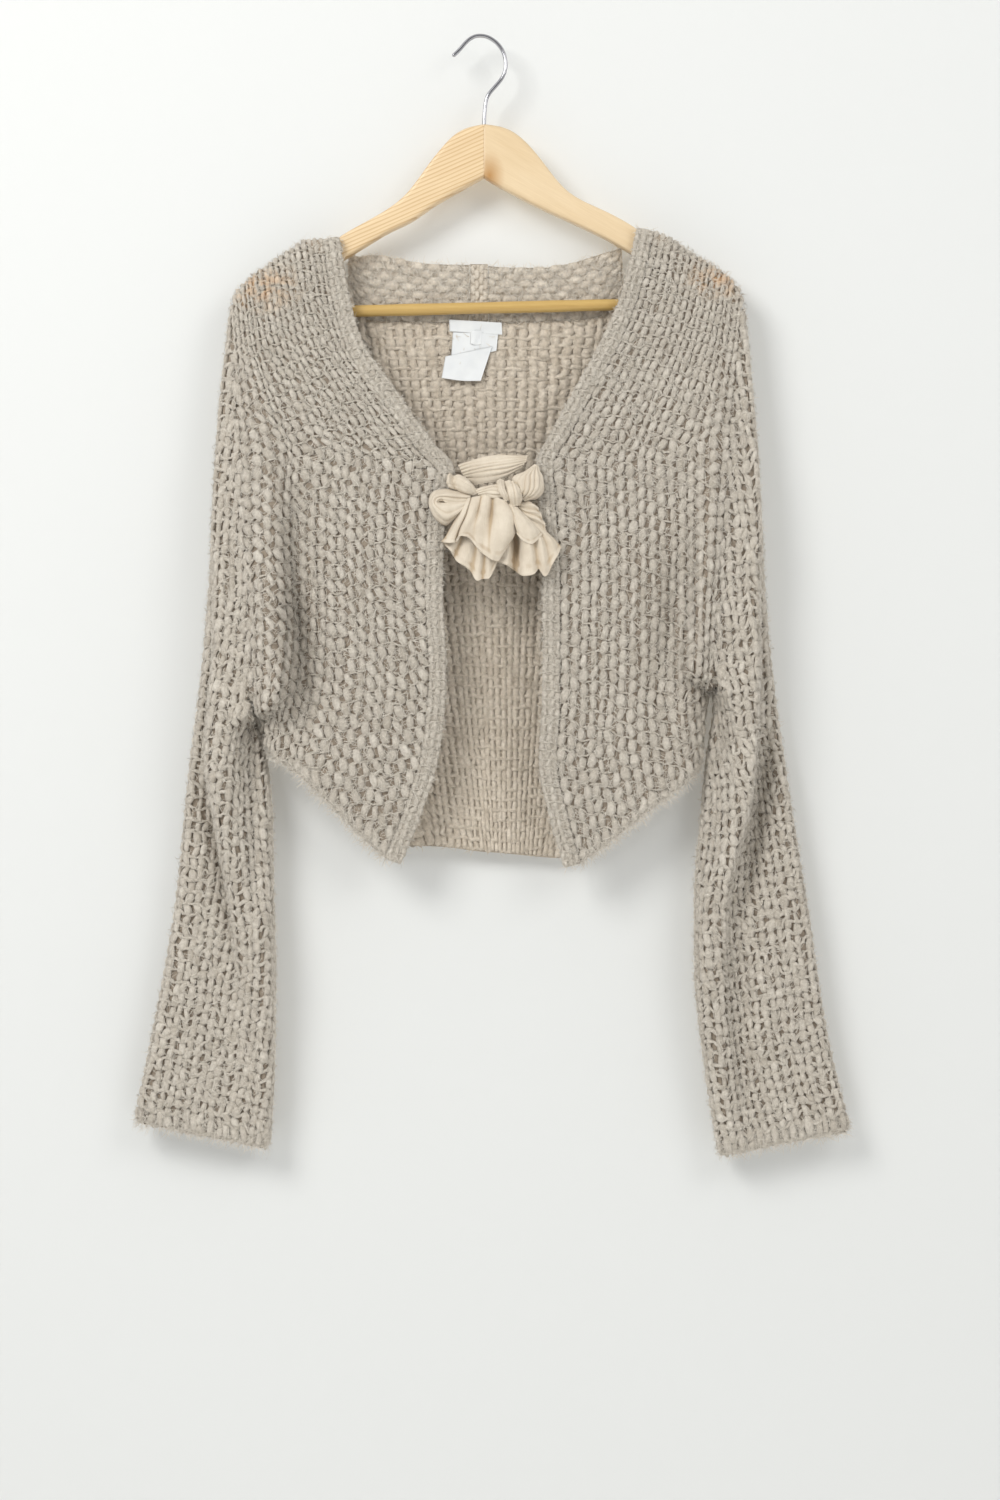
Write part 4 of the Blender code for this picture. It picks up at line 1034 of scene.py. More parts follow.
def weave(tubes, cords, cloth, pitch, period, rng, side=1.0, cord=None, cord_step=0.25, upper=1.0, **shape):
    """Columns of stitches side by side, with a wavy cord over each line of knots. The stitches
    at the upper edge are `upper` times as long as the rest. `cord` and `shape` go to
    cross_cord and strand."""
    count, numbers = cloth.spacing(pitch)
    shifts = knot_shifts(count, rng)

    def knot_place(k, number):
        """Length from the upper edge to a knot of line k, at a column number."""
        sway = sum(size * np.sin(number / reach + phase) for size, reach, phase in KNOT_SWAYS)
        even = period * (k + 0.5 + sway + np.interp(number, np.arange(count) + 0.5, shifts))
        return even - (1 - upper) * UPPER_REACH * (1 - np.exp(-even / UPPER_REACH))

    def lines_between(low, high):
        """Numbers of all knot lines that can come between two lengths."""
        spare = math.ceil((1 - upper) * UPPER_REACH / period) + 2
        return np.arange(math.floor(low / period) - 2, math.ceil(high / period) + spare)

    for j in range(count):
        each = cloth.rows_each(numbers, j + 0.5)
        lengths = cloth.lengths_at(np.interp(j + 0.5, numbers, cloth.rows))
        first, last = lengths[-1] + WEAVE_TRIM, lengths[0] - WEAVE_TRIM
        if last - first < 0.5 * period:
            continue
        knots = knot_place(lines_between(first, last), j + 0.5)
        knots = knots[(knots > first + KNOT_ROOM * period) & (knots < last - KNOT_ROOM * period)]
        knots = np.concatenate([[first], knots, [last]])
        drift = 0.05 * np.sin(knots / 29.0 + j * 1.7) + 0.05 * np.sin(knots / 13.0 + j * 2.9)
        turn = np.interp(-knots, -lengths, cloth.turns)
        row = np.interp(np.clip(j + 0.5 + drift, 0.3, count - 0.3), numbers, cloth.rows)

        def half(row, turn, each=each):
            return cloth.sample(cloth.widths, row, turn) * each / 2
        strand(tubes, cloth, row, turn, half, rng, side=side, **shape)

    number = np.arange(cord_step / 2, count, cord_step)
    rows = np.interp(number, numbers, cloth.rows)
    lengths = np.array([cloth.lengths_at(row) for row in rows])
    for k in lines_between(lengths[:, -1].min(), lengths[:, 0].max()):
        place = knot_place(k, number)
        good = (place < lengths[:, 0] - WEAVE_TRIM) & (place > lengths[:, -1] + WEAVE_TRIM)
        for run in runs(good, 5):
            turn = np.array([np.interp(-place[i], -lengths[i], cloth.turns) for i in run])
            cross_cord(cords, cloth, rows[run], turn, rng, side, **(cord or {}))


SLEEVE_PITCH = 7.6
SLEEVE_TOP_LEVEL = -294.0
SLEEVE_END_LEVEL = {"left": -1026.0, "right": -1038.0}
SLEEVE_STITCH_LENGTHS = ([292, 640, 720, 900, 1030], [11.8, 11.2, 10.8, 10.2, 9.4])
SLEEVE_STITCH = dict(dip=0.0, fat=0.93, tall=2.2, pinch=0.64)
SLEEVE_CORD = dict(wide=2.0, deep=1.6, height=1.2, stray=0.9)
CUFF_CORD = dict(wide=2.6, deep=2.0, height=-0.8, stray=1.1)
SLEEVE_KNOT_SHIFT = 0.28
SLEEVE_SWAY = 0.9
SLEEVE_ZIGZAG = 0.7
SLEEVE_SPREAD = 0.7
SECTION_TILT = 0.2
SECTION_PLACES = 90


def sleeve_sections(cloth, side, levels):
    """Lines round a hanging sleeve at the given levels. Each has a front and a back branch:
    the lengths from the outer edge, the rows and the turns of its places."""
    rows = COLUMNS[side]
    fine = np.linspace(ARMHOLE_ROW, LAST_ROW, 400)

    def levels_of(row):
        """Levels of a column's lower and upper end, along lines that tilt with the sleeve."""
        low_out, low_z, high_out, high_z = read_rows(rows, row)
        return low_z - SECTION_TILT * low_out, high_z - SECTION_TILT * high_out

    low_line, high_line = (np.minimum.accumulate(line) for line in levels_of(fine))
    sections = []
    for level in levels:
        last = np.interp(-level, -high_line, fine)
        first = max(ARMHOLE_ROW, np.interp(-level, -low_line, fine)) if level < low_line[0] else ARMHOLE_ROW
        row = first + (last - first) * share_at(np.linspace(1, 0, SECTION_PLACES))
        low, high = levels_of(row)
        turn = np.arccos(1 - 2 * np.clip((level - low) / (high - low), 0, 1)) / math.pi
        sections.append([(lengths_along(cloth.sample(cloth.points, row, way)), row, way)
                         for way in (turn, 2 - turn)])
    return sections


def weave_sleeve(tubes, cords, cloth, side, rng):
    """Columns of stitches down the sleeve from the armhole to the cuff, with a cord over each
    line of knots and a thicker one round the cuff."""
    levels = [SLEEVE_TOP_LEVEL]
    while levels[-1] > SLEEVE_END_LEVEL[side] + 5:
        levels.append(levels[-1] - float(np.interp(-levels[-1], *SLEEVE_STITCH_LENGTHS)))
    levels[-1] = SLEEVE_END_LEVEL[side]
    sections = sleeve_sections(cloth, side, levels)

    for branch in (0, 1):
        lines = [section[branch] for section in sections]
        reach = np.array([line[0][-1] for line in lines])

        def spots(level, length):
            """(row, turn) at level numbers and lengths from the outer edge."""
            low = np.clip(np.floor(level).astype(int), 0, len(levels) - 2)
            part = np.clip(level - low, 0, 1)[:, None]
            upper, lower = (
                np.array([[np.interp(min(s, reach[i]), lines[i][0], lines[i][axis]) for axis in (1, 2)]
                          for s, i in zip(length, k)])
                for k in (low, low + 1))
            return (upper * (1 - part) + lower * part).T

        columns = int(reach.max() / SLEEVE_PITCH) + 2
        shifts = knot_shifts(columns, rng, SLEEVE_KNOT_SHIFT, 0.1)
        for i in range(branch, columns):
            for run in runs(reach > (i - 0.35) * SLEEVE_PITCH, 2):
                stray = shifts[i] + rng.normal(0, 0.1, len(run))
                level = run + np.where((run > run[0]) & (run < run[-1]), stray * (i > 0), 0)
                wander = SLEEVE_SWAY * np.sin(run / 2.3 + i * 1.7) + SLEEVE_ZIGZAG * (-1.0) ** run
                wander = wander + rng.normal(0, SLEEVE_SPREAD, len(run))
                length = i * SLEEVE_PITCH + wander * (i > 0)
                strand(tubes, cloth, *spots(level, length), SLEEVE_PITCH / 2, rng, **SLEEVE_STITCH)
        for k in range(len(levels) - 1):
            length = np.arange(0, reach[k] - 0.5, SLEEVE_PITCH * 0.25)
            if len(length) < 5:
                continue
            shift = np.interp(length / SLEEVE_PITCH, np.arange(columns), shifts * (np.arange(columns) > 0))
            cross_cord(cords, cloth, *spots(k + shift, length), rng, **SLEEVE_CORD)
        length = np.arange(0, reach[-1] - 0.5, SLEEVE_PITCH * 0.4)
        end = np.full(len(length), len(levels) - 1.0)
        cross_cord(cords, cloth, *spots(end, length), rng, **CUFF_CORD)


FIBRE_RISES = (0.02, 0.55)
FIBRE_LENGTHS = (0.45, 1.25)
FIBRE_HALF_WIDTHS = (0.12, 0.24)
FIBRE_DEPTH = 1.8
FIBRE_TURN = 0.6
FIBRE_BENDS = (-0.9, 0.6)
FIBRE_TIP = 0.3


def fuzz(name, cloth, count, rng, made_of, base=2.2, side=1.0, long=9.0, turns=(0.0, 9.0), rows=(0.0, 99.0)):
    """Loose mohair fibres that lie over the stitches and stand off the outline, each a flat
    strip of two parts. `turns` and `rows` limit where they grow."""
    area = cloth.widths * np.abs(np.gradient(cloth.lengths, axis=1))
    area = area * ((cloth.turns >= turns[0]) & (cloth.turns <= turns[1]))
    area = area * ((cloth.rows >= rows[0]) & (cloth.rows <= rows[1]))[:, None]
    total = np.cumsum(area.ravel())
    cell = np.searchsorted(total, rng.random(count) * total[-1])
    i, j = np.unravel_index(np.minimum(cell, area.size - 1), area.shape)
    row = cloth.rows[i] + (rng.random(count) - 0.5) * (cloth.rows[1] - cloth.rows[0])
    turn = cloth.turns[j] + (rng.random(count) - 0.5) * (cloth.turns[1] - cloth.turns[0])
    point, normal = cloth.point_and_normal(row, turn, side)
    random_way = unit(rng.normal(size=(count, 3)))
    flat = unit(random_way - normal * (random_way * normal).sum(-1, keepdims=True))
    rise = rng.uniform(*FIBRE_RISES, count)[:, None]
    first_way = unit(flat + normal * rise)
    turned = np.cross(normal, flat) * rng.normal(0, FIBRE_TURN, count)[:, None]
    second_way = unit(flat + turned + normal * (rise * rng.uniform(*FIBRE_BENDS, count)[:, None]))
    length = long * rng.uniform(*FIBRE_LENGTHS, count)[:, None]
    start = point + normal * (base + rng.uniform(0, FIBRE_DEPTH, count)[:, None])
    middle = start + first_way * length * 0.5
    end = middle + second_way * length * 0.5
    width = rng.uniform(*FIBRE_HALF_WIDTHS, count)[:, None]
    across = unit(np.cross(first_way, normal)) * width
    tip = unit(np.cross(second_way, normal)) * width * FIBRE_TIP
    points = np.stack([start - across, start + across, middle - across, middle + across,
                       end - tip, end + tip], 1)
    corner = np.arange(count)[:, None] * 6
    faces = np.concatenate([corner + [0, 1, 3, 2], corner + [2, 3, 5, 4]])
    tones = np.repeat(np.clip(rng.normal(0.5, 0.25, count), 0, 1), 6)
    return declare(add_mesh(name, points, [faces], made_of, tones))


WEB_OFFSETS = (-1.6, -0.6)


def base_shell(node, cloth, made_of, rows, turns, offsets=WEB_OFFSETS, ring=False):
    """The thin web of cloth behind the stitches, in place of the node's plain solid."""
    row = np.linspace(cloth.rows[0], cloth.rows[-1], rows)
    turn = np.linspace(cloth.turns[0], cloth.turns[-1], turns, endpoint=not ring)
    row, turn = np.meshgrid(row, turn, indexing="ij")
    points, normals = cloth.point_and_normal(row, turn, 1.0)
    return declare(add_shell(f"{node}.cloth", points, normals, *offsets, made_of, ring), node)


GRID_TURNS = 241
OVERHANG_TURNS = np.linspace(0, 1.075, 259)
RING_TURNS = np.linspace(0, 2, 2 * GRID_TURNS - 1)


def front_cloth(side):
    def place(row, turn):
        return half_surface(side, row, share_at(turn), "front")
    return Cloth(place, 0.0, ARMHOLE_ROW, OVERHANG_TURNS, (0, -1, 0))


def sleeve_cloth(side):
    def place(row, turn):
        row, turn = np.broadcast_arrays(row, turn)
        front = half_surface(side, row, share_at(np.minimum(turn, 1)), "front")
        behind = half_surface(side, row, share_at(2 - np.maximum(turn, 1)), "back")
        return np.where((turn <= 1)[..., None], front, behind)
    return Cloth(place, ARMHOLE_ROW, LAST_ROW, RING_TURNS, (0, -1, 0))


def back_cloth(first, last):
    def place(row, turn):
        return back_surface(row, share_at(turn))
    return Cloth(place, first, last, np.linspace(0, 1, GRID_TURNS), (0, 1, 0))


# ------------------------------------------------------------------- knitted panels

STITCH_LENGTH = 13.2
COLUMN_PITCH = 7.9
UPPER_STITCHES = 0.58
STITCH_LEAN = {"left": 0.36, "right": -0.14}
FRONT_STITCH = dict(fat=0.94, dip=-0.9, pinch=0.36, tall=2.5)
FRONT_CORD = dict(height=0.9, wide=1.05, deep=0.85)
CUFF_ROWS = (15.85, 16.0)
EDGE_FIBRES = dict(base=0.0, long=10.0)
FIBRES = {"front": 9000, "hem": 1500, "sleeve": 10500, "cuff": 1800, "back": 3000, "inner": 4500,
          "band": 2600, "collar": 2200}
HEM_TURNS = (0.0, 0.05)
BACK_PITCH = 8.6
BACK_STITCH_LENGTH = 14.0
BACK_STITCH = dict(fat=1.25, pinch=0.5, tall=2.8)
INNER_ROWS = (4.0, 12.0)
INNER_PITCH = 7.0
INNER_STITCH_LENGTH = 9.2
INNER_STITCH = dict(lift=2.3, dip=1.8, tall=1.5, fat=1.3, pinch=0.66)
INNER_CORD = dict(wide=3.2, deep=1.3, height=2.1)
INNER_FIBRES = dict(base=2.6, side=-1.0)


def yarn_and_thread(node, tubes, cords, made_of, kind=""):
    return [declare(tubes.make(f"{node}.{kind}yarn", made_of)),
            declare(cords.make(f"{node}.{kind}thread", made_of))]


def make_front(side, seed):
    cloth = front_cloth(side)
    base = base_shell(f"front_{side}", cloth, WEB_PAINTED_SHADE, rows=40, turns=80)
    tubes, cords, rng = Tubes(5), Tubes(4), np.random.default_rng(seed)
    weave(tubes, cords, cloth, COLUMN_PITCH, STITCH_LENGTH, rng, cord=FRONT_CORD, upper=UPPER_STITCHES,
          lean=STITCH_LEAN[side], **FRONT_STITCH)
    pieces = yarn_and_thread(f"front_{side}", tubes, cords, YARN)
    pieces.append(fuzz(f"front_{side}.fuzz", cloth, FIBRES["front"], rng, FUZZ))
    pieces.append(fuzz(f"front_{side}.edge_fuzz", cloth, FIBRES["hem"], rng, FUZZ, turns=HEM_TURNS,
                       **EDGE_FIBRES))


def make_sleeve(side, seed):
    cloth = sleeve_cloth(side)
    base = base_shell(f"sleeve_{side}", cloth, WEB_PAINTED_SHADE, rows=50, turns=90, ring=True)
    tubes, cords, rng = Tubes(5), Tubes(4), np.random.default_rng(seed)
    weave_sleeve(tubes, cords, cloth, side, rng)
    pieces = yarn_and_thread(f"sleeve_{side}", tubes, cords, YARN)
    pieces.append(fuzz(f"sleeve_{side}.fuzz", cloth, FIBRES["sleeve"], rng, FUZZ))
    pieces.append(fuzz(f"sleeve_{side}.edge_fuzz", cloth, FIBRES["cuff"], rng, FUZZ, rows=CUFF_ROWS,
                       **EDGE_FIBRES))


def make_back(seed):
    cloth = back_cloth(0.0, BACK_LAST_ROW)
    base = base_shell("back", cloth, BACK_WEB_PAINTED_SHADE, rows=50, turns=50)
    tubes, cords, rng = Tubes(4), Tubes(3), np.random.default_rng(seed)
    weave(tubes, cords, cloth, BACK_PITCH, BACK_STITCH_LENGTH, rng, cord_step=0.5, **BACK_STITCH)
    pieces = yarn_and_thread("back", tubes, cords, YARN)
    pieces.append(fuzz("back.fuzz", cloth, FIBRES["back"], rng, FUZZ))
    inner = back_cloth(*INNER_ROWS)
    pieces.append(fuzz("back.inner_fuzz", inner, FIBRES["inner"], rng, INNER_FUZZ, **INNER_FIBRES))
    tubes, cords, rng = Tubes(4), Tubes(3), np.random.default_rng(seed + 1)
    weave(tubes, cords, inner, INNER_PITCH, INNER_STITCH_LENGTH, rng, side=-1.0, cord=INNER_CORD,
          cord_step=0.5, **INNER_STITCH)
    pieces += yarn_and_thread("back", tubes, cords, INNER_YARN_PAINTED_LIGHT, "inner_")


# ------------------------------------------------------------------------------ bands

BAND_PITCH = 5.9
BAND_STITCH_LENGTH = 7.6
BAND_STITCH = dict(lift=0.5, dip=-0.7, fat=0.96, tall=1.8, pinch=0.42)
BAND_CORD = dict(height=0.9, wide=1.0, deep=0.8)
BAND_SHIFT = 0.9
BAND_SIDES = 12
BAND_TONE = 0.4
BAND_UNEVEN = 0.25
BAND_RINGS = 180
BAND_TURNS = 301
BAND_EDGE_STEPS = 400
BAND_COVER = 0.5
BAND_FIBRES = dict(base=0.3, long=7.5)


def read_path(path, ticks, at):
    """Points of a path at places `at` between its ticks."""
    return np.stack([np.interp(at, ticks, path[:, k]) for k in range(3)], -1)


def make_band(side, seed):
    """The thick rolled edge of one front: a roll of cloth with stitches along it."""
    rng = np.random.default_rng(seed)
    share = np.linspace(0, 1, BAND_EDGE_STEPS)
    out, z = inset_edge(side, share, BAND_WIDTH / 2 + BAND_SHIFT)
    x = out if side == "right" else -out
    path = np.stack([x, -front_level(side, out, z) - SEAM_GAP / 2, z], -1)
    aside = unit(np.cross(np.gradient(path, axis=0), FORWARD))
    lengths = lengths_along(path)
    core = read_path(path, lengths, np.linspace(0, lengths[-1], BAND_RINGS))
    uneven = rng.normal(0, BAND_UNEVEN, BAND_RINGS)
    tubes = Tubes(BAND_SIDES)
    tubes.follow(core, np.broadcast_to(FORWARD, core.shape), BAND_WIDTH / 2 + BAND_COVER + uneven,
                 BAND_THICKNESS / 2 + 0.2 + uneven / 2, np.full(BAND_RINGS, BAND_TONE))
    base = declare(tubes.make(f"band_{side}.cloth", YARN), f"band_{side}")

    def place(row, turn):
        """row runs round the roll's front and turn runs along it."""
        row, turn = np.broadcast_arrays(row, turn)
        angle = math.pi * row[..., None]
        spots = read_path(path, lengths, turn * lengths[-1])
        ways = read_path(aside, share, turn)
        return spots + ways * np.cos(angle) * BAND_WIDTH / 2 + FORWARD * np.sin(angle) * BAND_THICKNESS / 2

    roll = Cloth(place, 0.0, 1.0, np.linspace(0, 1, BAND_TURNS), (0, -1, 0))
    tubes, cords = Tubes(5), Tubes(4)
    weave(tubes, cords, roll, BAND_PITCH, BAND_STITCH_LENGTH, rng, cord=BAND_CORD, **BAND_STITCH)
    pieces = yarn_and_thread(f"band_{side}", tubes, cords, YARN)
    pieces.append(fuzz(f"band_{side}.fuzz", roll, FIBRES["band"], rng, FUZZ, **BAND_FIBRES))


# ------------------------------------------------------------------------------ collar

COLLAR_STITCHES = dict(pitch=12.4, period=15.5, lift=1.4, dip=0.5, fat=0.6, tall=1.6, thin=1.9)
JOIN_STITCHES = dict(pitch=8.0, period=9.5, lift=1.6, dip=1.0, fat=0.55, tall=1.2, thin=1.5)
COLLAR_WEB = (-0.9, 0.9)
JOIN_WEB = (-1.3, 1.3)
SEAM_STEP = 0.02
COLLAR_TURNS = 161
JOIN_TURNS = 81
COLLAR_STEP = 0.02
COLLAR_FIBRES = dict(base=1.2, long=7.0)


def collar_place(side):
    rows = COLLARS[side]
    seam = back_surface(rows["back_row"], 1.0)
    along = back_surface(rows["back_row"] + SEAM_STEP, 1.0) - back_surface(rows["back_row"] - SEAM_STEP, 1.0)
    length = np.hypot(along[:, 0], along[:, 2])
    ends = {
        "low_x": seam[:, 0] - along[:, 2] / length * COLLAR_SEAM_GAP,
        "low_z": seam[:, 2] + along[:, 0] / length * COLLAR_SEAM_GAP,
        "top_x": rows["top_x"],
        "top_z": rows["top_z"],
    }

    def place(row, turn):
        """row runs up the collar from 0 to 1, and turn runs along it."""
        row, turn = np.broadcast_arrays(row, turn)
        low_x, low_z, top_x, top_z = read_rows(ends, turn * (len(seam) - 1))
        x, z = low_x + row * (top_x - low_x), low_z + row * (top_z - low_z)
        y = back_level(x, np.full_like(z, SEAM_Z)) + COLLAR_LEAN * row
        return np.stack([x, y, z], -1)
    return place


def make_collar(side, seed):
    cloth = Cloth(collar_place(side), 0.0, 1.0, np.linspace(0, 1, COLLAR_TURNS), (0, -1, 0), COLLAR_STEP)
    base = base_shell(f"collar_{side}", cloth, COLLAR_YARN, rows=16, turns=50, offsets=COLLAR_WEB)
    rng = np.random.default_rng(seed)
    for layer, out in (("front", 1.0), ("back", -1.0)):
        tubes = Tubes(6)
        knit(tubes, cloth, rng=rng, side=out, **COLLAR_STITCHES)
        declare(tubes.make(f"collar_{side}.{layer}_yarn", COLLAR_YARN))
    fuzz(f"collar_{side}.fuzz", cloth, FIBRES["collar"], rng, FUZZ, **COLLAR_FIBRES)


def make_collar_join(seed):
    def place(row, turn):
        row, turn = np.broadcast_arrays(row, turn)
        x = JOIN_X - JOIN_HALF_WIDTH + 2 * JOIN_HALF_WIDTH * row
        z = SEAM_Z + JOIN_SEAM_GAP + turn * (JOIN_TOP_Z - SEAM_Z - JOIN_SEAM_GAP)
        y = back_level(x, np.full(x.shape, SEAM_Z)) + COLLAR_LEAN * turn
        return np.stack([x, y, z], -1)
    cloth = Cloth(place, 0.0, 1.0, np.linspace(0, 1, JOIN_TURNS), (0, -1, 0), COLLAR_STEP)
    base = base_shell("collar_join", cloth, COLLAR_YARN, rows=8, turns=24, offsets=JOIN_WEB)
    tubes, rng = Tubes(6), np.random.default_rng(seed)
    for out in (1.0, -1.0):
        knit(tubes, cloth, rng=rng, side=out, **JOIN_STITCHES)
    yarn = declare(tubes.make("collar_join.yarn", COLLAR_YARN))


# -------------------------------------------------------------------------------- bow

BOW_UNIT = 0.892
BOW_CORNER = (-53.5, -363.9)
VIEW_AXIS = (17.8, -636.0)
VIEW_DISTANCE = 2100.0
CHIFFON_WALL = 0.6
# A hem is three walls thick. It and the shade beside it reach over so many lines of the grid
HEM_WALLS = 3.0
HEM_LINES = 3
HEM_SHADE_LINES = 2
HEM_SHADE = 0.3


def smooth_grid(guides, along, across):
    """A surface through guide lines that lie side by side: (guides, places on each, 3)."""
    lines, places = np.arange(guides.shape[0], dtype=float), np.arange(guides.shape[1], dtype=float)
    at = np.linspace(0, places[-1], along)
    run = np.stack([[curve(places, guide[:, k], at) for k in range(3)] for guide in guides])
    at = np.linspace(0, lines[-1], across)
    rows = [[curve(lines, run[:, k, i], at) for k in range(3)] for i in range(along)]
    return np.stack(rows).transpose(0, 2, 1)


def front_normals(points):
    """Normals of a grid of points, turned so that they face the viewer on the whole."""
    normals = grid_normals(points)
    return normals * (-1.0 if normals[..., 1].mean() > 0 else 1.0)


CREASE_SHADE_REACH = 3


def crease_shade_tones(points):
    """A tone for each point, darker where a fold dips behind its neighbours: painted shade in the folds."""
    deep = points[..., 1]
    wide = np.pad(deep, ((0, 0), (CREASE_SHADE_REACH, CREASE_SHADE_REACH)), "edge")
    around = np.mean([wide[:, k:k + deep.shape[1]] for k in range(2 * CREASE_SHADE_REACH + 1)], axis=0)
    return np.clip(0.7 - 0.7 * (deep - around), 0, 1)


def chiffon(name, guides, along=36, across=48, pleats=0.0, depth=0.0, hem=False, fade=0.15, slack=0.25):
    """A piece of the bow from guide lines, each a row of (right, down, y) on the bow's own
    sketch, which shows it as it looks from VIEW_DISTANCE. Fine pleats run along the guides,
    and a hem lies at their far end."""
    sketch = np.asarray(guides, float)
    nearer = (VIEW_DISTANCE + sketch[..., 2]) / VIEW_DISTANCE
    x = VIEW_AXIS[0] + (BOW_CORNER[0] + BOW_UNIT * sketch[..., 0] - VIEW_AXIS[0]) * nearer
    z = VIEW_AXIS[1] + (BOW_CORNER[1] - BOW_UNIT * sketch[..., 1] - VIEW_AXIS[1]) * nearer
    points = smooth_grid(np.stack([x, sketch[..., 2], z], -1), along, across)
    u, v = np.linspace(0, 1, along)[:, None], np.linspace(0, 1, across)[None, :]
    wave = 2 * math.pi * pleats * (v + 0.02 * np.sin(5 * u + 9 * v))
    ripple = (np.abs(np.sin(wave / 2)) - 0.6) * depth * (1 - fade * u)
    ripple = ripple + slack * np.sin(9 * u + 14 * v) * np.sin(17 * v - 4 * u + 1)
    points = points + front_normals(points) * ripple[..., None]
    half = np.full((along, across, 1), CHIFFON_WALL / 2)
    # painted shade: the tones are darker where the folds dip
    tones = crease_shade_tones(points)
    if hem:
        half[-HEM_LINES:] = CHIFFON_WALL * HEM_WALLS / 2
        # painted shade in a band beside the hem
        tones[-HEM_LINES - HEM_SHADE_LINES:-HEM_LINES] -= HEM_SHADE
    shell = add_shell(name, points, front_normals(points), -half, half, CHIFFON, tones=tones)
    return declare(shell)


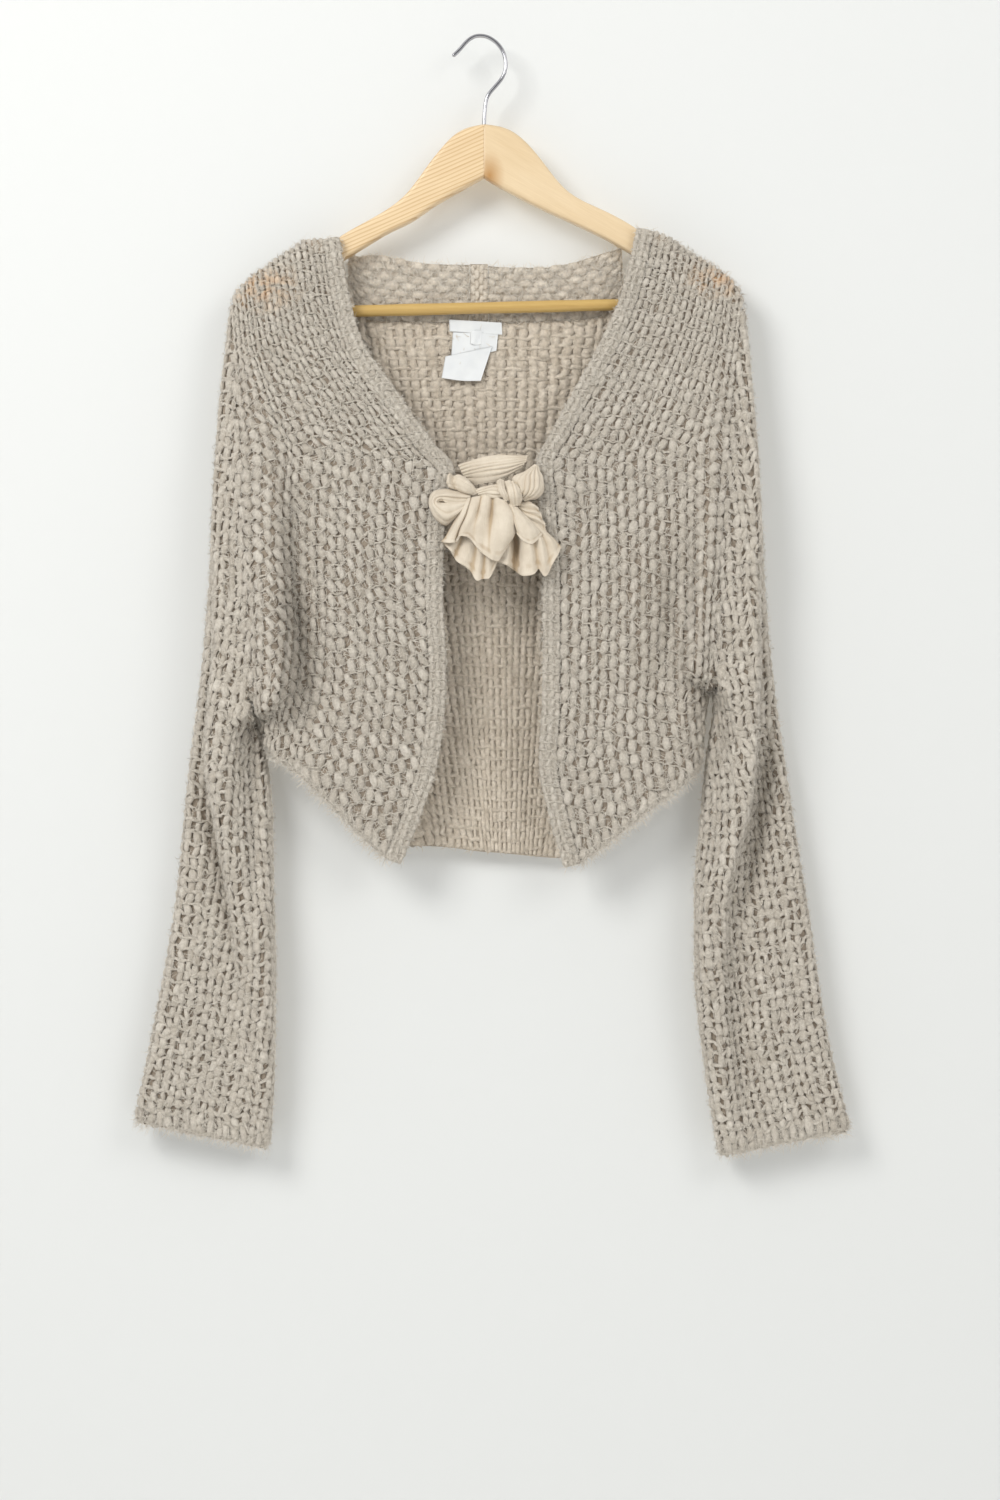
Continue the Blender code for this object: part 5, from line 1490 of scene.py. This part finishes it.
BOW_PIECES = {
    "bow_strap.cloth": dict(pleats=6, depth=0.9, guides=[
        [(38, 20, -30), (50, 16, -33), (66, 11.5, -34.5), (84, 9.5, -35), (108, 10.5, -33)],
        [(40, 24, -31), (52, 20, -35), (68, 17, -37), (85, 15, -37), (107, 13, -34)],
        [(42, 28, -31), (53, 25, -35.5), (70, 22, -38), (86, 20, -38), (106, 16, -34.5)],
        [(45, 32, -31), (54, 31, -35), (72, 28, -37.5), (86, 25.5, -37.5), (104, 19, -34.5)],
        [(49, 37, -30), (56, 39.5, -33.5), (72, 36.5, -35.5), (86, 32, -35.5), (101, 23, -33)],
    ]),
    "bow_tail_left.under": dict(hem=True, guides=[
        [(47, 56, -41), (38, 76, -42), (30, 90, -43), (23.5, 99, -43.5)],
        [(50, 56, -42), (42, 76, -44), (36, 92, -46), (31, 107, -46.5)],
        [(53, 56, -41), (46, 77, -42.5), (40, 97, -43), (34, 112, -43)],
        [(56, 56, -42), (50, 78, -44), (44, 99, -46), (38, 117.5, -47)],
        [(60, 56, -42), (55, 80, -44.5), (49.5, 103, -47), (44, 121, -48.5)],
        [(63, 56, -41), (60, 80, -43), (55.5, 106, -45), (51, 127, -46.5)],
        [(66, 56, -42), (63, 82, -45), (60, 110, -48), (57, 136, -50)],
        [(69, 56, -41), (67, 82, -43), (65, 110, -45.5), (62.5, 134, -46.5)],
        [(72, 56, -42), (70, 84, -45), (69, 110, -48), (68, 134, -50)],
        [(76, 56, -41), (75, 84, -43), (74, 106, -45), (72.5, 127, -47)],
        [(80, 56, -41), (80, 80, -42), (79, 100, -43), (77.5, 115, -44)],
    ]),
    "bow_tail_left.cloth": dict(hem=True, across=72, guides=[
        [(47, 54, -43), (38, 70, -45), (30, 84, -46), (22, 97, -46.5)],
        [(48.5, 53, -46), (41, 70, -50), (33, 85, -51.5), (28, 98, -52)],
        [(50.5, 52.5, -46), (44, 70, -50), (37, 85, -51), (33, 97.5, -51)],
        [(51.5, 52.5, -44), (46, 70, -47), (39, 85, -47.5), (35.5, 98, -47)],
        [(53, 52, -47), (48, 70, -51), (42, 83, -52.5), (37, 95, -52)],
        [(57, 51, -47.5), (52, 68, -51.5), (46, 80, -53), (41, 91, -53.5)],
        [(60, 50.5, -47), (56, 67, -49.5), (51, 80, -51.5), (46, 91.5, -53)],
        [(61.5, 50, -45.5), (58, 66, -48), (54, 82, -51), (52, 96.5, -52.5)],
        [(65, 50, -49), (62, 66, -52), (58, 84, -53), (57, 103, -53)],
        [(69, 50, -48.5), (67.5, 66, -50.5), (64, 86, -51.5), (63, 109, -52)],
        [(72.5, 50.5, -46), (71.5, 66, -47), (69, 88, -50.5), (68, 112.5, -52.5)],
        [(77, 52, -50), (77, 68, -54), (75, 90, -55), (72, 115, -53)],
        [(83, 55, -51), (86, 70, -55.5), (84, 90, -55), (77, 116, -51)],
        [(87, 57, -49), (93, 72, -53), (92, 88, -52), (84, 106, -49)],
        [(88, 58, -46), (95, 76, -49), (95, 87, -49), (88, 101, -46)],
    ]),
    "bow_tail_right.cloth": dict(hem=True, across=64, guides=[
        [(84, 58, -41), (84, 80, -42), (82, 100, -43), (77, 117, -44)],
        [(86, 58, -42), (88, 80, -43), (89, 100, -44), (86, 120, -46)],
        [(88, 58, -39), (92, 82, -35), (96, 99, -32), (95, 125.5, -38)],
        [(90, 58, -43), (97, 80, -45), (104, 100, -49), (104, 131, -50)],
        [(92, 59, -45), (101, 80, -49), (110, 100, -52), (113, 129.5, -51)],
        [(94, 60, -44), (105, 80, -46), (115, 100, -47), (118.5, 124, -47)],
        [(96, 61, -45), (109, 80, -48), (121, 98, -51), (125, 131.5, -50)],
        [(98, 62, -44), (114, 81, -46), (126, 97, -47), (131, 122, -46.5)],
        [(100, 62.5, -44), (118, 82, -46), (131, 96, -49), (136, 113, -48)],
        [(101, 63, -43), (121, 82, -44), (133, 93, -45), (141, 102, -44.5)],
    ]),
    "bow_tail_right.flap": dict(hem=True, across=30, guides=[
        [(88, 58, -47), (92, 68, -51), (95, 80, -52), (97.5, 89, -51)],
        [(91, 59, -49), (96, 71, -54), (101, 84, -55), (104, 96, -53)],
        [(95, 61, -49), (102, 73, -54), (108, 86, -55), (111, 99, -52.5)],
        [(98, 63, -48), (107, 75, -52), (115, 85, -52.5), (118, 94, -50.5)],
        [(99, 64, -45), (110, 75, -48), (117, 83, -49), (122, 89, -48)],
    ]),
    "bow_frill.cloth": dict(hem=True, across=60, guides=[
        [(97, 59, -41), (104, 57.5, -43), (110, 57, -44), (114, 60, -42)],
        [(98, 60, -44), (106, 60, -47), (113, 60, -49), (118, 64, -47)],
        [(98, 61, -43), (107, 63.5, -46), (114, 64.8, -47), (119, 67, -45.5)],
        [(98, 62, -44), (107, 66, -48), (116, 67.5, -50), (121.5, 71, -48)],
        [(98.5, 63, -43), (107.5, 68.5, -46), (116, 71, -47), (122.5, 75, -45.5)],
        [(99, 63.5, -44), (108, 71, -47), (118, 74, -49), (125, 79.5, -47)],
        [(99, 64, -42), (109, 74, -45), (118, 78, -46), (125.5, 83.5, -44.5)],
        [(99, 65, -41), (109, 77, -43), (119, 83, -44), (128, 89, -43)],
    ]),
    "bow_loop_upper_left.cloth": dict(along=44, across=36, pleats=3, depth=0.5, fade=0, guides=[
        [(57, 45, -41), (46, 33, -44), (38, 29.5, -43), (34, 31, -42), (30, 28, -46), (28, 29, -42),
         (31, 32, -38)],
        [(57, 47, -44), (47, 37, -48.5), (38, 33, -47), (33.5, 33, -43), (28.5, 31, -48),
         (27, 34, -44), (31, 35, -38)],
        [(56, 49, -45), (46, 41, -50), (37, 38, -48.5), (33, 37.5, -44), (28.5, 36, -49),
         (26.5, 37, -45), (31, 38, -38)],
        [(54, 50, -44), (44, 45, -48.5), (37.5, 42, -47.5), (34, 41, -44), (30, 40.5, -48),
         (28, 41, -44), (32, 41, -38)],
        [(52, 51, -41), (43, 48, -44), (39, 46, -44), (36, 44.5, -43), (33, 44, -45), (31, 43, -42),
         (33, 43, -38)],
    ]),
    "bow_loop_lower_left.cloth": dict(along=60, across=34, pleats=4, depth=0.9, fade=0, guides=[
        [(52, 49.5, -39), (38, 46.5, -39), (26, 44, -39), (16, 45, -39), (10, 50, -39), (8.5, 58, -39),
         (11, 67, -39), (17, 76, -39), (26, 81, -39), (33, 76, -39), (42, 66, -39)],
        [(51, 50.5, -43), (38, 48, -44), (26, 46, -44), (17, 47, -44), (11.5, 51, -44), (10, 58, -45),
         (13, 66, -46), (18.5, 73, -46), (26, 77.5, -46), (34, 73, -46), (43, 64.5, -45)],
        [(50, 52, -45), (38, 51, -47), (26.5, 50, -48), (19, 50.5, -48), (14, 53, -48), (13, 57.5, -49),
         (16, 63, -50), (21, 68, -51), (27, 71, -51), (36, 67.5, -50), (45, 61.5, -47)],
        [(49, 54, -44), (38, 54.5, -46), (27, 53, -47), (20.5, 53, -47.5), (16.8, 55, -48),
         (16, 57.3, -48.5),
         (18, 59.7, -49), (23, 62, -50), (29, 62.5, -50.5), (37, 61, -50), (47, 58.5, -47)],
        [(48, 56, -45), (38, 57.3, -47), (28, 57.2, -47.5), (22.5, 55, -46), (18.6, 55.8, -46),
         (17.8, 57.2, -46.5),
         (19.5, 58.3, -47), (25, 59.0, -48.5), (31, 58.9, -49), (38, 58.4, -48), (48, 56.8, -45.5)],
        [(47, 56.3, -44), (37, 57.7, -46), (28.5, 57.9, -46), (24, 56.6, -41), (20.5, 56.4, -39),
         (19.8, 57.2, -39),
         (21, 57.6, -39), (25, 58.0, -42), (31, 58.2, -47), (38, 57.9, -46.5), (47, 56.6, -44)],
    ]),
    "bow_loop_right.cloth": dict(across=64, pleats=6, depth=1.3, fade=0, slack=0.45, guides=[
        [(99, 50, -41), (95, 42.5, -42), (92, 35, -43.5), (95, 30, -43), (104, 26, -42), (115, 20, -40)],
        [(100, 51.5, -45), (100, 44, -49), (98, 37, -49.5), (101, 31, -48.5), (107, 27, -46.5),
         (115.5, 20, -41)],
        [(101, 53, -45), (105.5, 45.5, -50), (107, 37.5, -51), (108, 31, -50), (111, 26.5, -47.5),
         (116, 20, -41)],
        [(102.5, 54, -45), (110.5, 47.5, -49.5), (113.5, 39.5, -50.5), (113.5, 31, -49.5),
         (114, 26, -47), (116.5, 20, -41)],
        [(103.5, 55, -44.5), (114, 49.5, -48), (119, 41, -49), (118.5, 31.5, -48), (117, 26, -46),
         (117, 20, -41)],
        [(105, 57, -41), (116, 54.5, -42), (124, 44, -43), (123.5, 33, -42.5), (119.5, 26.5, -42),
         (117.5, 20, -39)],
    ]),
    "bow_knot.gather": dict(pleats=5, depth=1.1, across=40, fade=0, guides=[
        [(57.5, 44.5, -42), (65, 41.5, -45), (71, 40.5, -46), (80, 38, -45)],
        [(56, 46.5, -46), (65, 43, -50), (73, 41.5, -50.5), (81, 41.5, -50)],
        [(58, 49, -46.5), (66, 47.5, -50.5), (73, 47, -51), (82, 47, -51)],
        [(60, 52.5, -43), (67, 52.5, -47), (75, 53.5, -48.5), (84, 54, -47)],
    ]),
    "bow_knot.band": dict(pleats=3, depth=0.5, across=24, along=28, fade=0, guides=[
        [(76.5, 37, -45), (77.5, 43, -51), (80, 49, -52.5), (84, 55, -50)],
        [(80, 34, -47), (81, 41, -55), (83.5, 48, -56), (86.5, 56, -51.5)],
        [(84.5, 36, -46), (85, 43, -52), (87.5, 49, -53), (89.5, 55, -50)],
    ]),
    "bow_knot.wrap": dict(pleats=4, depth=0.9, across=34, along=28, fade=0, guides=[
        [(83.5, 37, -43), (85, 44, -49), (87.5, 51, -51), (90, 60, -47)],
        [(88, 35.5, -47), (90.5, 43, -54), (92.5, 51, -55.5), (94, 61, -50)],
        [(93, 36.5, -47), (96, 43, -54), (98, 51, -55), (97.5, 60.5, -49.5)],
        [(97, 39.5, -43), (101, 46, -48), (102.5, 53, -49.5), (100, 60.5, -45)],
    ]),
}


def make_bow():
    made = {name: chiffon(name, **values) for name, values in BOW_PIECES.items()}
    for node, parts, flat, held, rests in (
        ("bow_strap", ["cloth"], (0.07, 0.026), "stretched", ["band_left.cloth", "band_right.cloth"]),
        ("bow_tail_left", ["cloth", "under"], (0.07, 0.055), "hung", ["bow_knot.band"]),
        ("bow_tail_right", ["cloth", "flap"], (0.07, 0.055), "hung", ["bow_knot.band"]),
        ("bow_frill", ["cloth"], (0.034, 0.021), "gathered", ["bow_knot.band"]),
        ("bow_loop_upper_left", ["cloth"], (0.03, 0.025), "folded", ["bow_knot.band"]),
        ("bow_loop_lower_left", ["cloth"], (0.08, 0.025), "folded", ["bow_knot.band"]),
        ("bow_loop_right", ["cloth"], (0.034, 0.036), "folded", ["bow_knot.band"]),
        ("bow_knot", ["band", "gather", "wrap"], (0.02, 0.014), "gathered", ["bow_strap.cloth"]),
    ):
        pieces = [made[f"{node}.{part}"] for part in parts]
        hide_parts(node)
        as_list(pieces[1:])


# ----------------------------------------------------------------------------- labels

LABEL_WALL = 0.35
LABEL_SAG = 1.2
LABELS = {
    "neck_label.cloth": dict(
        corners=((-27.7, -251.0), (19.3, -253.5), (19.8, -264.2), (-27.4, -261.5)), lift=5.0, curl=0.0),
    "care_label.tab": dict(
        corners=((-8.5, -260), (1.2, -260), (1.0, -272.8), (-8.8, -272.4)), lift=4.9, curl=0.5,
        rows=12, columns=12),
    "care_label.cloth": dict(
        corners=((-24.4, -262.0), (16.2, -262.5), (14.6, -278.5), (-26.0, -286.0)), lift=4.3, curl=0.6),
    "care_label_tail.cloth": dict(
        corners=((-31.0, -284.0), (10.8, -274.7), (0.5, -306.0), (-34.4, -303.6)), lift=5.6, curl=2.2),
}


def satin_patch(name, corners, lift, curl, rows=24, columns=36):
    """A bare satin label between corners (x, z): upper left, upper right, lower right and
    lower left. It stands `lift` in front of the back and curls by `curl` towards its end."""
    (x0, z0), (x1, z1), (x2, z2), (x3, z3) = corners
    u, v = np.linspace(0, 1, rows)[:, None], np.linspace(0, 1, columns)[None, :]
    x = (1 - u) * ((1 - v) * x0 + v * x1) + u * ((1 - v) * x3 + v * x2)
    z = (1 - u) * ((1 - v) * z0 + v * z1) + u * ((1 - v) * z3 + v * z2)
    z = z - LABEL_SAG * u * np.sin(math.pi * v) * (curl > 0)
    away = lift + curl * u ** 2 + 0.5 * np.sin(3.0 * v + 1.5 * u) + 0.25 * np.sin(11 * v + 5 * u) * u
    points = np.stack([x, back_level(x, np.full_like(z, SEAM_Z)) - away, z], -1)
    shell = add_shell(name, points, grid_normals(points), -LABEL_WALL / 2, LABEL_WALL / 2, SATIN)
    node, part = name.split(".")
    return declare(shell, node if part == "cloth" else None)


def make_labels():
    neck, tab, care, tail = (satin_patch(name, **values) for name, values in LABELS.items())


# ----------------------------------------------------------------------------- hanger

# The hanger's outline and the middle line of its hook
ARM_NAMES = "x top_z low_z"
ARMS = {
    "left": table(ARM_NAMES, [
        (3.4, -78.5, -125.8),
        (-17.5, -83.5, -137.5),
        (-28.5, -92.8, -143.8),
        (-39, -105.3, -149.8),
        (-50, -119.5, -157.5),
        (-61, -136.5, -165.5),
        (-79.5, -152.6, -173.5),
        (-97.5, -163.3, -184.5),
        (-124, -178.0, -200.8),
        (-142, -191.6, -213.5),
        (-192, -219.5, -247.0),
        (-204, -228.5, -255.0),
        (-210, -237.0, -253.0),
    ]),
    "right": table(ARM_NAMES, [
        (3.8, -78.5, -125.8),
        (24.5, -82.0, -138.5),
        (37.5, -91.0, -144.8),
        (48, -101.7, -150.6),
        (60, -117.2, -156.2),
        (72, -133.6, -161.5),
        (85, -143.6, -167.6),
        (112, -156.2, -180.4),
        (139, -171.2, -196.2),
        (158, -186.5, -208.5),
        (205, -215.5, -240.5),
        (216, -224.0, -247.5),
        (221, -232.0, -245.0),
    ]),
}
MITRE_X = 3.6
MITRE_GAP = 0.05
ARM_HALF_THICKNESS = 6.5
ARM_ROUNDING = 3.2
ARM_RING = 40
ARM_INSETS = ([0, 0.0012, 0.003, 0.985, 0.995, 1.0], [0.2, 0.08, 0.0, 0.0, 1.2, 3.2])
BAR_LEFT = (-199.0, -246.6)
BAR_RIGHT = (211.0, -236.6)
BAR_RADIUS = 5.2
BAR_WAVES = ((0.12, 23), (0.08, 61))
BAR_RINGS = 90
ARM_SOFTEN = 12
HOOK_RADIUS = 1.75
HOOK_TIP = 1.2
HOOK_SOFTEN = (6, 5)
HOOK_RINGS = 220
HOOK_ROUTE = table("x z", [
    (3.6, -92.5),
    (3.6, -78.5),
    (4.6, -62.0),
    (5.9, -54.0),
    (9.6, -48.6),
    (15.5, -42.0),
    (20.2, -36.0),
    (22.6, -30.0),
    (23.2, -24.0),
    (21.6, -15.5),
    (17.6, -8.0),
    (11.2, -2.2),
    (4.0, 1.1),
    (-2.5, 1.4),
    (-8.4, -1.0),
    (-13.6, -5.8),
    (-18.9, -12.2),
    (-24.6, -17.3),
])


def rounded_box_ring(half_deep, half_tall, rounding, count):
    """Places round a rounded rectangle, as (depth, height) pairs, evenly by length."""
    turn = np.linspace(0, math.pi / 2, 9)
    parts = []
    for side_y, side_z, start in ((1, 1, 0), (-1, 1, 1), (-1, -1, 2), (1, -1, 3)):
        angle = turn + start * math.pi / 2
        parts.append(np.stack([side_y * (half_deep - rounding) + rounding * np.cos(angle),
                               side_z * (half_tall - rounding) + rounding * np.sin(angle)], -1))
    ring = np.concatenate(parts)
    ring = np.concatenate([ring, ring[:1]])
    length = lengths_along(ring)
    at = np.linspace(0, length[-1], count + 1)[:-1]
    return np.stack([np.interp(at, length, ring[:, k]) for k in range(2)], -1)


def soften(values, reach):
    """A moving mean over `reach` places each way that keeps both ends."""
    ends = np.arange(1, reach + 1)
    before = 2 * values[0] - values[ends[::-1]]
    after = 2 * values[-1] - values[-1 - ends]
    wide = np.concatenate([before, values, after])
    return np.convolve(wide, np.ones(2 * reach + 1) / (2 * reach + 1), "valid")


def round_bar(name, path, radius, sides, made_of, node):
    tubes = Tubes(sides)
    tubes.follow(path, np.broadcast_to(FORWARD, path.shape), radius, radius, np.full(len(path), 0.5))
    declare(tubes.make(name, made_of), node)


def make_arm(side):
    rows = ARMS[side]
    sign = 1 if side == "right" else -1
    start, end = MITRE_X + MITRE_GAP * sign, rows["x"][-1]
    spread = np.concatenate([[0, 0.0012, 0.003], np.linspace(0.008, 0.985, 110), [0.99, 0.995, 0.998, 1.0]])
    xs = start + (end - start) * spread
    inset = np.interp(spread, *ARM_INSETS)
    even = np.linspace(start, end, 240) * sign
    top, low = (np.interp(xs * sign, even, soften(curve(rows["x"] * sign, rows[name], even), ARM_SOFTEN))
                for name in ("top_z", "low_z"))
    points = np.empty((len(xs), ARM_RING, 3))
    for i, x in enumerate(xs):
        half = (top[i] - low[i]) / 2 - inset[i]
        deep = ARM_HALF_THICKNESS - inset[i]
        ring = rounded_box_ring(deep, half, min(ARM_ROUNDING, deep * 0.9, half * 0.9), ARM_RING)
        points[i] = np.stack([np.full(ARM_RING, x), ring[:, 0], (top[i] + low[i]) / 2 + ring[:, 1]], -1)
    tubes = Tubes(ARM_RING)
    tubes.add(points, np.full(len(xs), 0.5))
    declare(tubes.make(f"hanger_arm_{side}.wood", WOOD[side]), f"hanger_arm_{side}")


def make_hanger():
    for side in ("left", "right"):
        make_arm(side)
    at = np.linspace(0, 1, BAR_RINGS)
    path = np.stack([BAR_LEFT[0] + at * (BAR_RIGHT[0] - BAR_LEFT[0]), np.zeros(BAR_RINGS),
                     BAR_LEFT[1] + at * (BAR_RIGHT[1] - BAR_LEFT[1])], -1)
    radius = BAR_RADIUS
    for size, rate in BAR_WAVES:
        radius = radius + size * np.sin(at * rate)
    round_bar("hanger_bar.wood", path, radius, 32, BAR_WOOD, "hanger_bar")

    rows = HOOK_ROUTE
    along = np.concatenate([[0], np.cumsum(np.hypot(np.diff(rows["x"]), np.diff(rows["z"])))])
    at = np.linspace(0, along[-1], HOOK_RINGS)
    x, z = (curve(along, column, at) for column in rows.values())
    for reach in HOOK_SOFTEN:
        x, z = soften(x, reach), soften(z, reach)
    radius = HOOK_RADIUS * np.sqrt(np.clip((along[-1] - at) / HOOK_TIP, 0.03, 1))
    path = np.stack([x, np.zeros_like(x), z], -1)
    round_bar("hanger_hook.wire", path, radius, 16, CHROME, "hanger_hook")


# ------------------------------------------------------------------------------ stage

STAGE_HALF = 2600.0
WALL_Y = 28.5
WALL_TOP = 1400.0
FLOOR_Z = -1500.0
CARD_HALF = 2400.0
CARD_Y = -3500.0
CARD_HEIGHTS = (-900.0, 1200.0)
SENSOR = 36.0
LENS = 56.5
CLIP_END = 50.0
SKY_STRENGTH = 0.64
LIGHTS = {
    "key": ((-1.35, -2.0, 0.75), (0.0, 0.0, -0.55), 1.2, 37.0, (1.0, 0.995, 0.985)),
    "side_key": ((1.45, -2.0, 0.6), (0.0, 0.0, -0.55), 1.2, 12.5, (1.0, 0.995, 0.985)),
    "back_key": ((1.4, 2.2, 0.6), (0.0, 0.0, -0.5), 1.4, 40.0, (1.0, 0.99, 0.97)),
}


def stage_plane(name, first, last, made_of, hidden_from=()):
    """A plain rectangle of the stage between two corners that share one coordinate, upright
    when they share y."""
    (x0, y0, z0), (x1, y1, z1) = first, last
    corners = [(x0, y0, z0), (x1, y0, z0), (x1, y1, z1), (x0, y1, z1)]
    plane = add_mesh(name, corners, [[[0, 1, 2, 3]]], made_of, smooth=False)
    for ray in hidden_from:
        setattr(plane, f"visible_{ray}", False)


def add_light(name, place, target, size, power, colour):
    light = bpy.data.lights.new(name, "AREA")
    light.shape, light.size, light.energy, light.color = "DISK", size, power, colour
    thing = bpy.data.objects.new(name, light)
    thing.location = place
    thing.rotation_euler = (Vector(target) - Vector(place)).to_track_quat("-Z", "Y").to_euler()
    bpy.context.scene.collection.objects.link(thing)


def wall_material():
    """Wall paint that can be looked through from behind."""
    made, tree, shader = nodes_of("wall_paint", Base_Color=(0.735, 0.745, 0.73, 1.0), Roughness=0.9)
    geometry = add_node(tree, "ShaderNodeNewGeometry")
    clear = add_node(tree, "ShaderNodeBsdfTransparent")
    mixed = add_node(tree, "ShaderNodeMixShader")
    fill(tree, mixed.inputs, (geometry.outputs["Backfacing"], shader.outputs[0], clear.outputs[0]))
    tree.links.new(mixed.outputs[0], tree.nodes["Material Output"].inputs["Surface"])
    return made


def make_stage():
    stage_plane("wall", (-STAGE_HALF, WALL_Y, FLOOR_Z), (STAGE_HALF, WALL_Y, WALL_TOP), wall_material(),
                ("diffuse", "shadow"))
    stage_plane("floor", (-STAGE_HALF, -STAGE_HALF, FLOOR_Z), (STAGE_HALF, STAGE_HALF, FLOOR_Z),
                plain_material("floor_paint", (0.86, 0.86, 0.85), 0.8))
    stage_plane("dark_card", (-CARD_HALF, CARD_Y, CARD_HEIGHTS[0]), (CARD_HALF, CARD_Y, CARD_HEIGHTS[1]),
                plain_material("dark_card", (0.03, 0.03, 0.035), 1.0), ("camera", "diffuse", "shadow"))

    world = bpy.context.scene.world or bpy.data.worlds.new("World")
    bpy.context.scene.world = world
    world.use_nodes = True
    set_up(world.node_tree.nodes["Background"], Color=(1.0, 1.0, 1.0, 1.0), Strength=SKY_STRENGTH)
    for name, values in LIGHTS.items():
        add_light(name, *values)

    camera = bpy.data.cameras.new("camera")
    camera.sensor_fit = "VERTICAL"
    camera.sensor_height = SENSOR
    camera.lens = LENS
    camera.clip_end = CLIP_END
    thing = bpy.data.objects.new("camera", camera)
    thing.location = (VIEW_AXIS[0] * M, -VIEW_DISTANCE * M, VIEW_AXIS[1] * M)
    thing.rotation_euler = (math.pi / 2, 0, 0)
    bpy.context.scene.collection.objects.link(thing)
    bpy.context.scene.camera = thing
    bpy.context.scene.view_settings.view_transform = "Standard"


# ------------------------------------------------------------------- all of it made

make_stage()
make_hanger()
make_bow()
make_labels()
for side, seed in (("left", 11), ("right", 12)):
    make_front(side, seed)
    make_sleeve(side, seed + 10)
    make_band(side, seed + 20)
    make_collar(side, seed + 30)
make_back(51)
make_collar_join(61)
